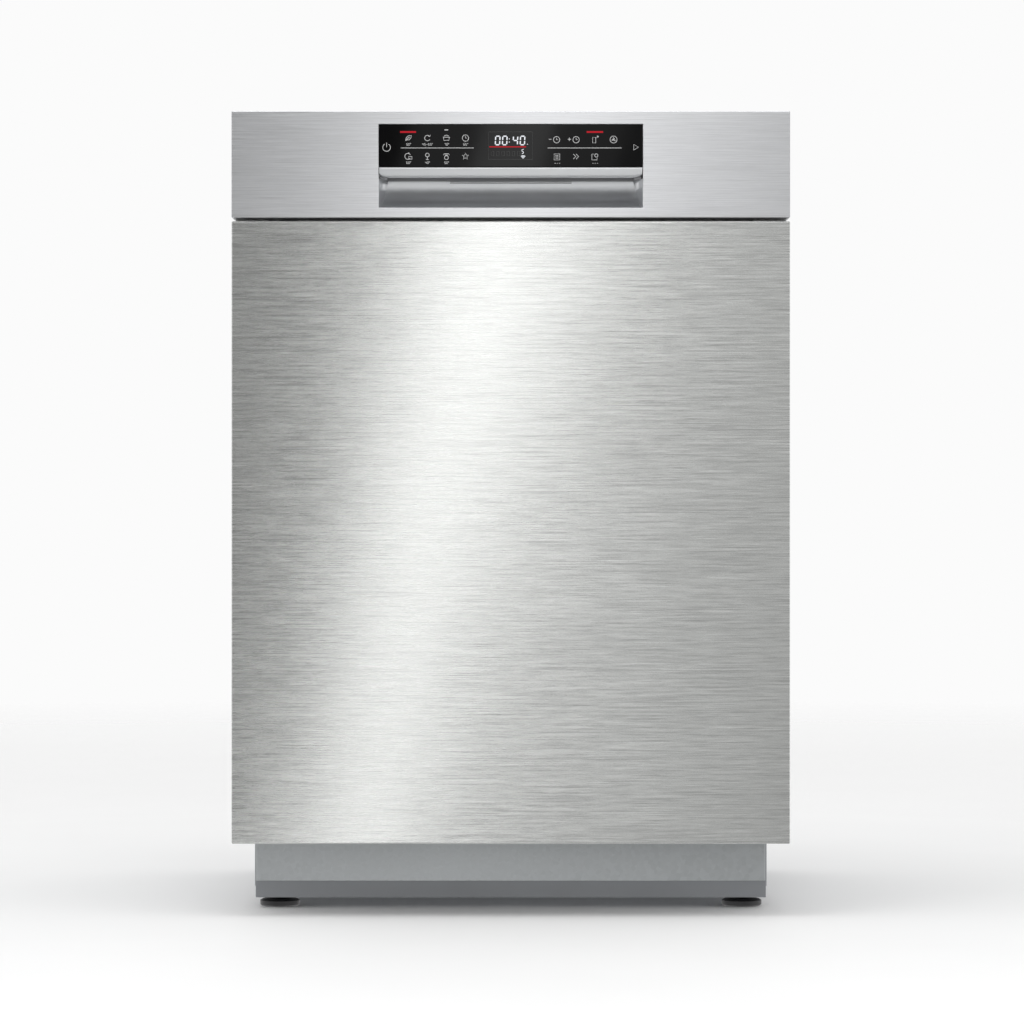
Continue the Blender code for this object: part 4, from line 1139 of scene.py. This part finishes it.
EXTRAS = {
    "base_tray": tray_ribs,
    "cutlery_drawer": drawer_combs,
    "dispenser_lid": lid_marks,
    "rinse_aid_cap": cap_marks,
    "filter_cylinder": filter_bars,
    "filter_plate": plate_slots,
    "salt_cap": cap_ribs,
}
BEVELS = {
    0.3: "tub side_panel_left side_panel_right rear_panel top_brace",
    0.7: "base_tray",
    0.8: "kick_plate filter_cylinder cup_shelf",
    0.4: "hinge_bracket_left hinge_bracket_right hinge_arm_left hinge_arm_right filter_plate upper_rail_left "
    "upper_rail_right upper_runner_left upper_runner_right cutlery_rail_left cutlery_rail_right",
    0.5: "door_latch cutlery_drawer",
    0.6: "dispenser_body sump",
    1.2: "dispenser_lid rinse_aid_cap feed_pipe",
    1.0: "salt_cap circulation_pump drain_pump inlet_valve",
    2.0: "water_softener heat_exchanger",
}


# ---- stage


def floor_look():
    """Matt and pale, and it fades out a few metres away so that no horizon shows."""
    nodes = Nodes("pale_floor", (0.92, 0.92, 0.92), 0.7)
    nodes.vary(nodes.noise(3.0), (0.985, 1.0))
    tree = nodes.tree
    place = add_node(tree, "TexCoord").outputs["Object"]
    distance = add_node(tree, "VectorMath", [(0, place)])
    distance.operation = "LENGTH"
    solid_to, clear_from = 1.2, 4.5
    fade = nodes.remap(distance.outputs["Value"], 0.0, 1.0, solid_to, clear_from)
    clear = add_node(tree, "BsdfTransparent").outputs["BSDF"]
    mix = add_node(tree, "MixShader", [("Fac", fade), (1, nodes.surface.outputs["BSDF"]), (2, clear)])
    tree.links.new(mix.outputs["Shader"], tree.nodes["Material Output"].inputs["Surface"])
    return nodes.material


def make_stage():
    bm = bmesh.new()
    bmesh.ops.create_grid(bm, x_segments=1, y_segments=1, size=14.0)
    floor = new_mesh("floor", bm, floor_look())
    floor.visible_glossy = False
    floor.visible_shadow = False


def make_light(name, place, target, size, power):
    data = bpy.data.lights.new(name, "AREA")
    data.shape = "RECTANGLE"
    data.size, data.size_y = size
    data.energy = power
    lamp = new_object(name, data)
    lamp.location = place
    lamp.rotation_mode = "QUATERNION"
    lamp.rotation_quaternion = (Vector(target) - Vector(place)).to_track_quat("-Z", "Y")
    lamp.visible_camera = False
    return lamp


def make_lights():
    """Soft daylight all round, a high softbox, and the slanted strip that the steel reflects."""
    world = bpy.data.worlds.new("studio")
    bpy.context.scene.world = world
    world.use_nodes = True
    tree = world.node_tree
    around = tree.nodes["Background"]
    place = add_node(tree, "TexCoord").outputs["Generated"]
    split = add_node(tree, "SeparateXYZ", [("Vector", place)]).outputs
    side = add_node(tree, "Math", [(0, split["X"])])
    side.operation = "ABSOLUTE"
    turn = add_node(tree, "Math", [(0, side.outputs["Value"]), (2, split["Y"])])
    turn.operation = "MULTIPLY_ADD"
    turn.inputs[1].default_value = 1.2
    shift = add_node(tree, "MapRange", [("Value", turn.outputs["Value"])], From_Min=-1.0)
    ramp = add_node(tree, "ValToRGB", [("Fac", shift.outputs["Result"])])
    front, behind = ramp.color_ramp.elements
    front.position, behind.position = 0.34, 0.52
    front.color, behind.color = (0.27, 0.273, 0.27, 1), (0.97, 0.97, 0.97, 1)
    tree.links.new(ramp.outputs["Color"], around.inputs["Color"])
    backdrop = add_node(tree, "Background", Color=(0.965, 0.965, 0.965, 1)).outputs["Background"]
    seen = add_node(tree, "LightPath").outputs["Is Camera Ray"]
    mix = add_node(tree, "MixShader", [("Fac", seen), (1, around.outputs["Background"]), (2, backdrop)])
    tree.links.new(mix.outputs["Shader"], tree.nodes["World Output"].inputs["Surface"])

    lean, middle = radians(12.5), 0.55
    strips = (
        ("strip", -0.10, 0.11, middle, 5.0, 5.4),
        ("strip_top", -0.10, 0.34, 1.60, 2.4, 2.8),
        ("side_strip", 0.38, 0.60, middle, 5.0, 3.0),
    )
    for name, across, width, height, length, power in strips:
        x = across + (height - middle) * tan(lean)
        strip = make_light(name, (x, FRONT - 2.0, height), (x, FRONT, height), (width, length), power)
        turn = Matrix.Rotation(lean, 3, "Y").to_quaternion()
        strip.rotation_quaternion = turn @ strip.rotation_quaternion
    make_light("softbox", (-0.3, -1.2, 3.2), (0, 0, 0.4), (2.2, 2.2), 30.0)


def make_camera():
    data = bpy.data.cameras.new("camera")
    data.lens, data.sensor_width = 135, 36
    data.clip_end = 60
    camera = new_object("camera", data)
    camera.location = (1.3 * MM, FRONT - VIEW_DISTANCE, VIEW_HEIGHT)
    camera.rotation_euler = (radians(90), 0, 0)
    bpy.context.scene.camera = camera


# ---- everything


def dress_cad_nodes():
    """Gives the CAD nodes that stay their finished materials."""
    for name, node in frame["nodes"].items():
        for place in node.material_slots:
            place.material = LOOK[SLOTS[name]]


bpy.context.scene.view_settings.view_transform = "Standard"
make_camera()
make_lights()
make_stage()
dress_cad_nodes()
make_door_skin()
make_fascia()
make_control_glass()
make_print()
make_grip_bar()
make_recess()
make_liner()
make_seal()
make_lower_rack()
make_upper_rack()
make_spray_arm("lower_spray_arm", (0.0, 0.015))
make_spray_arm("upper_spray_arm", (0.0, 0.0))
for side, word in SIDES:
    make_spring(side, word)
make_mat("top_insulation", 2)
make_mat("door_insulation", 1)
for foot in ("foot_front_left", "foot_front_right", "foot_rear"):
    make_foot(foot)
make_details()
for bevel, nodes in BEVELS.items():
    for node in nodes.split():
        refine(node, bevel, EXTRAS.get(node))
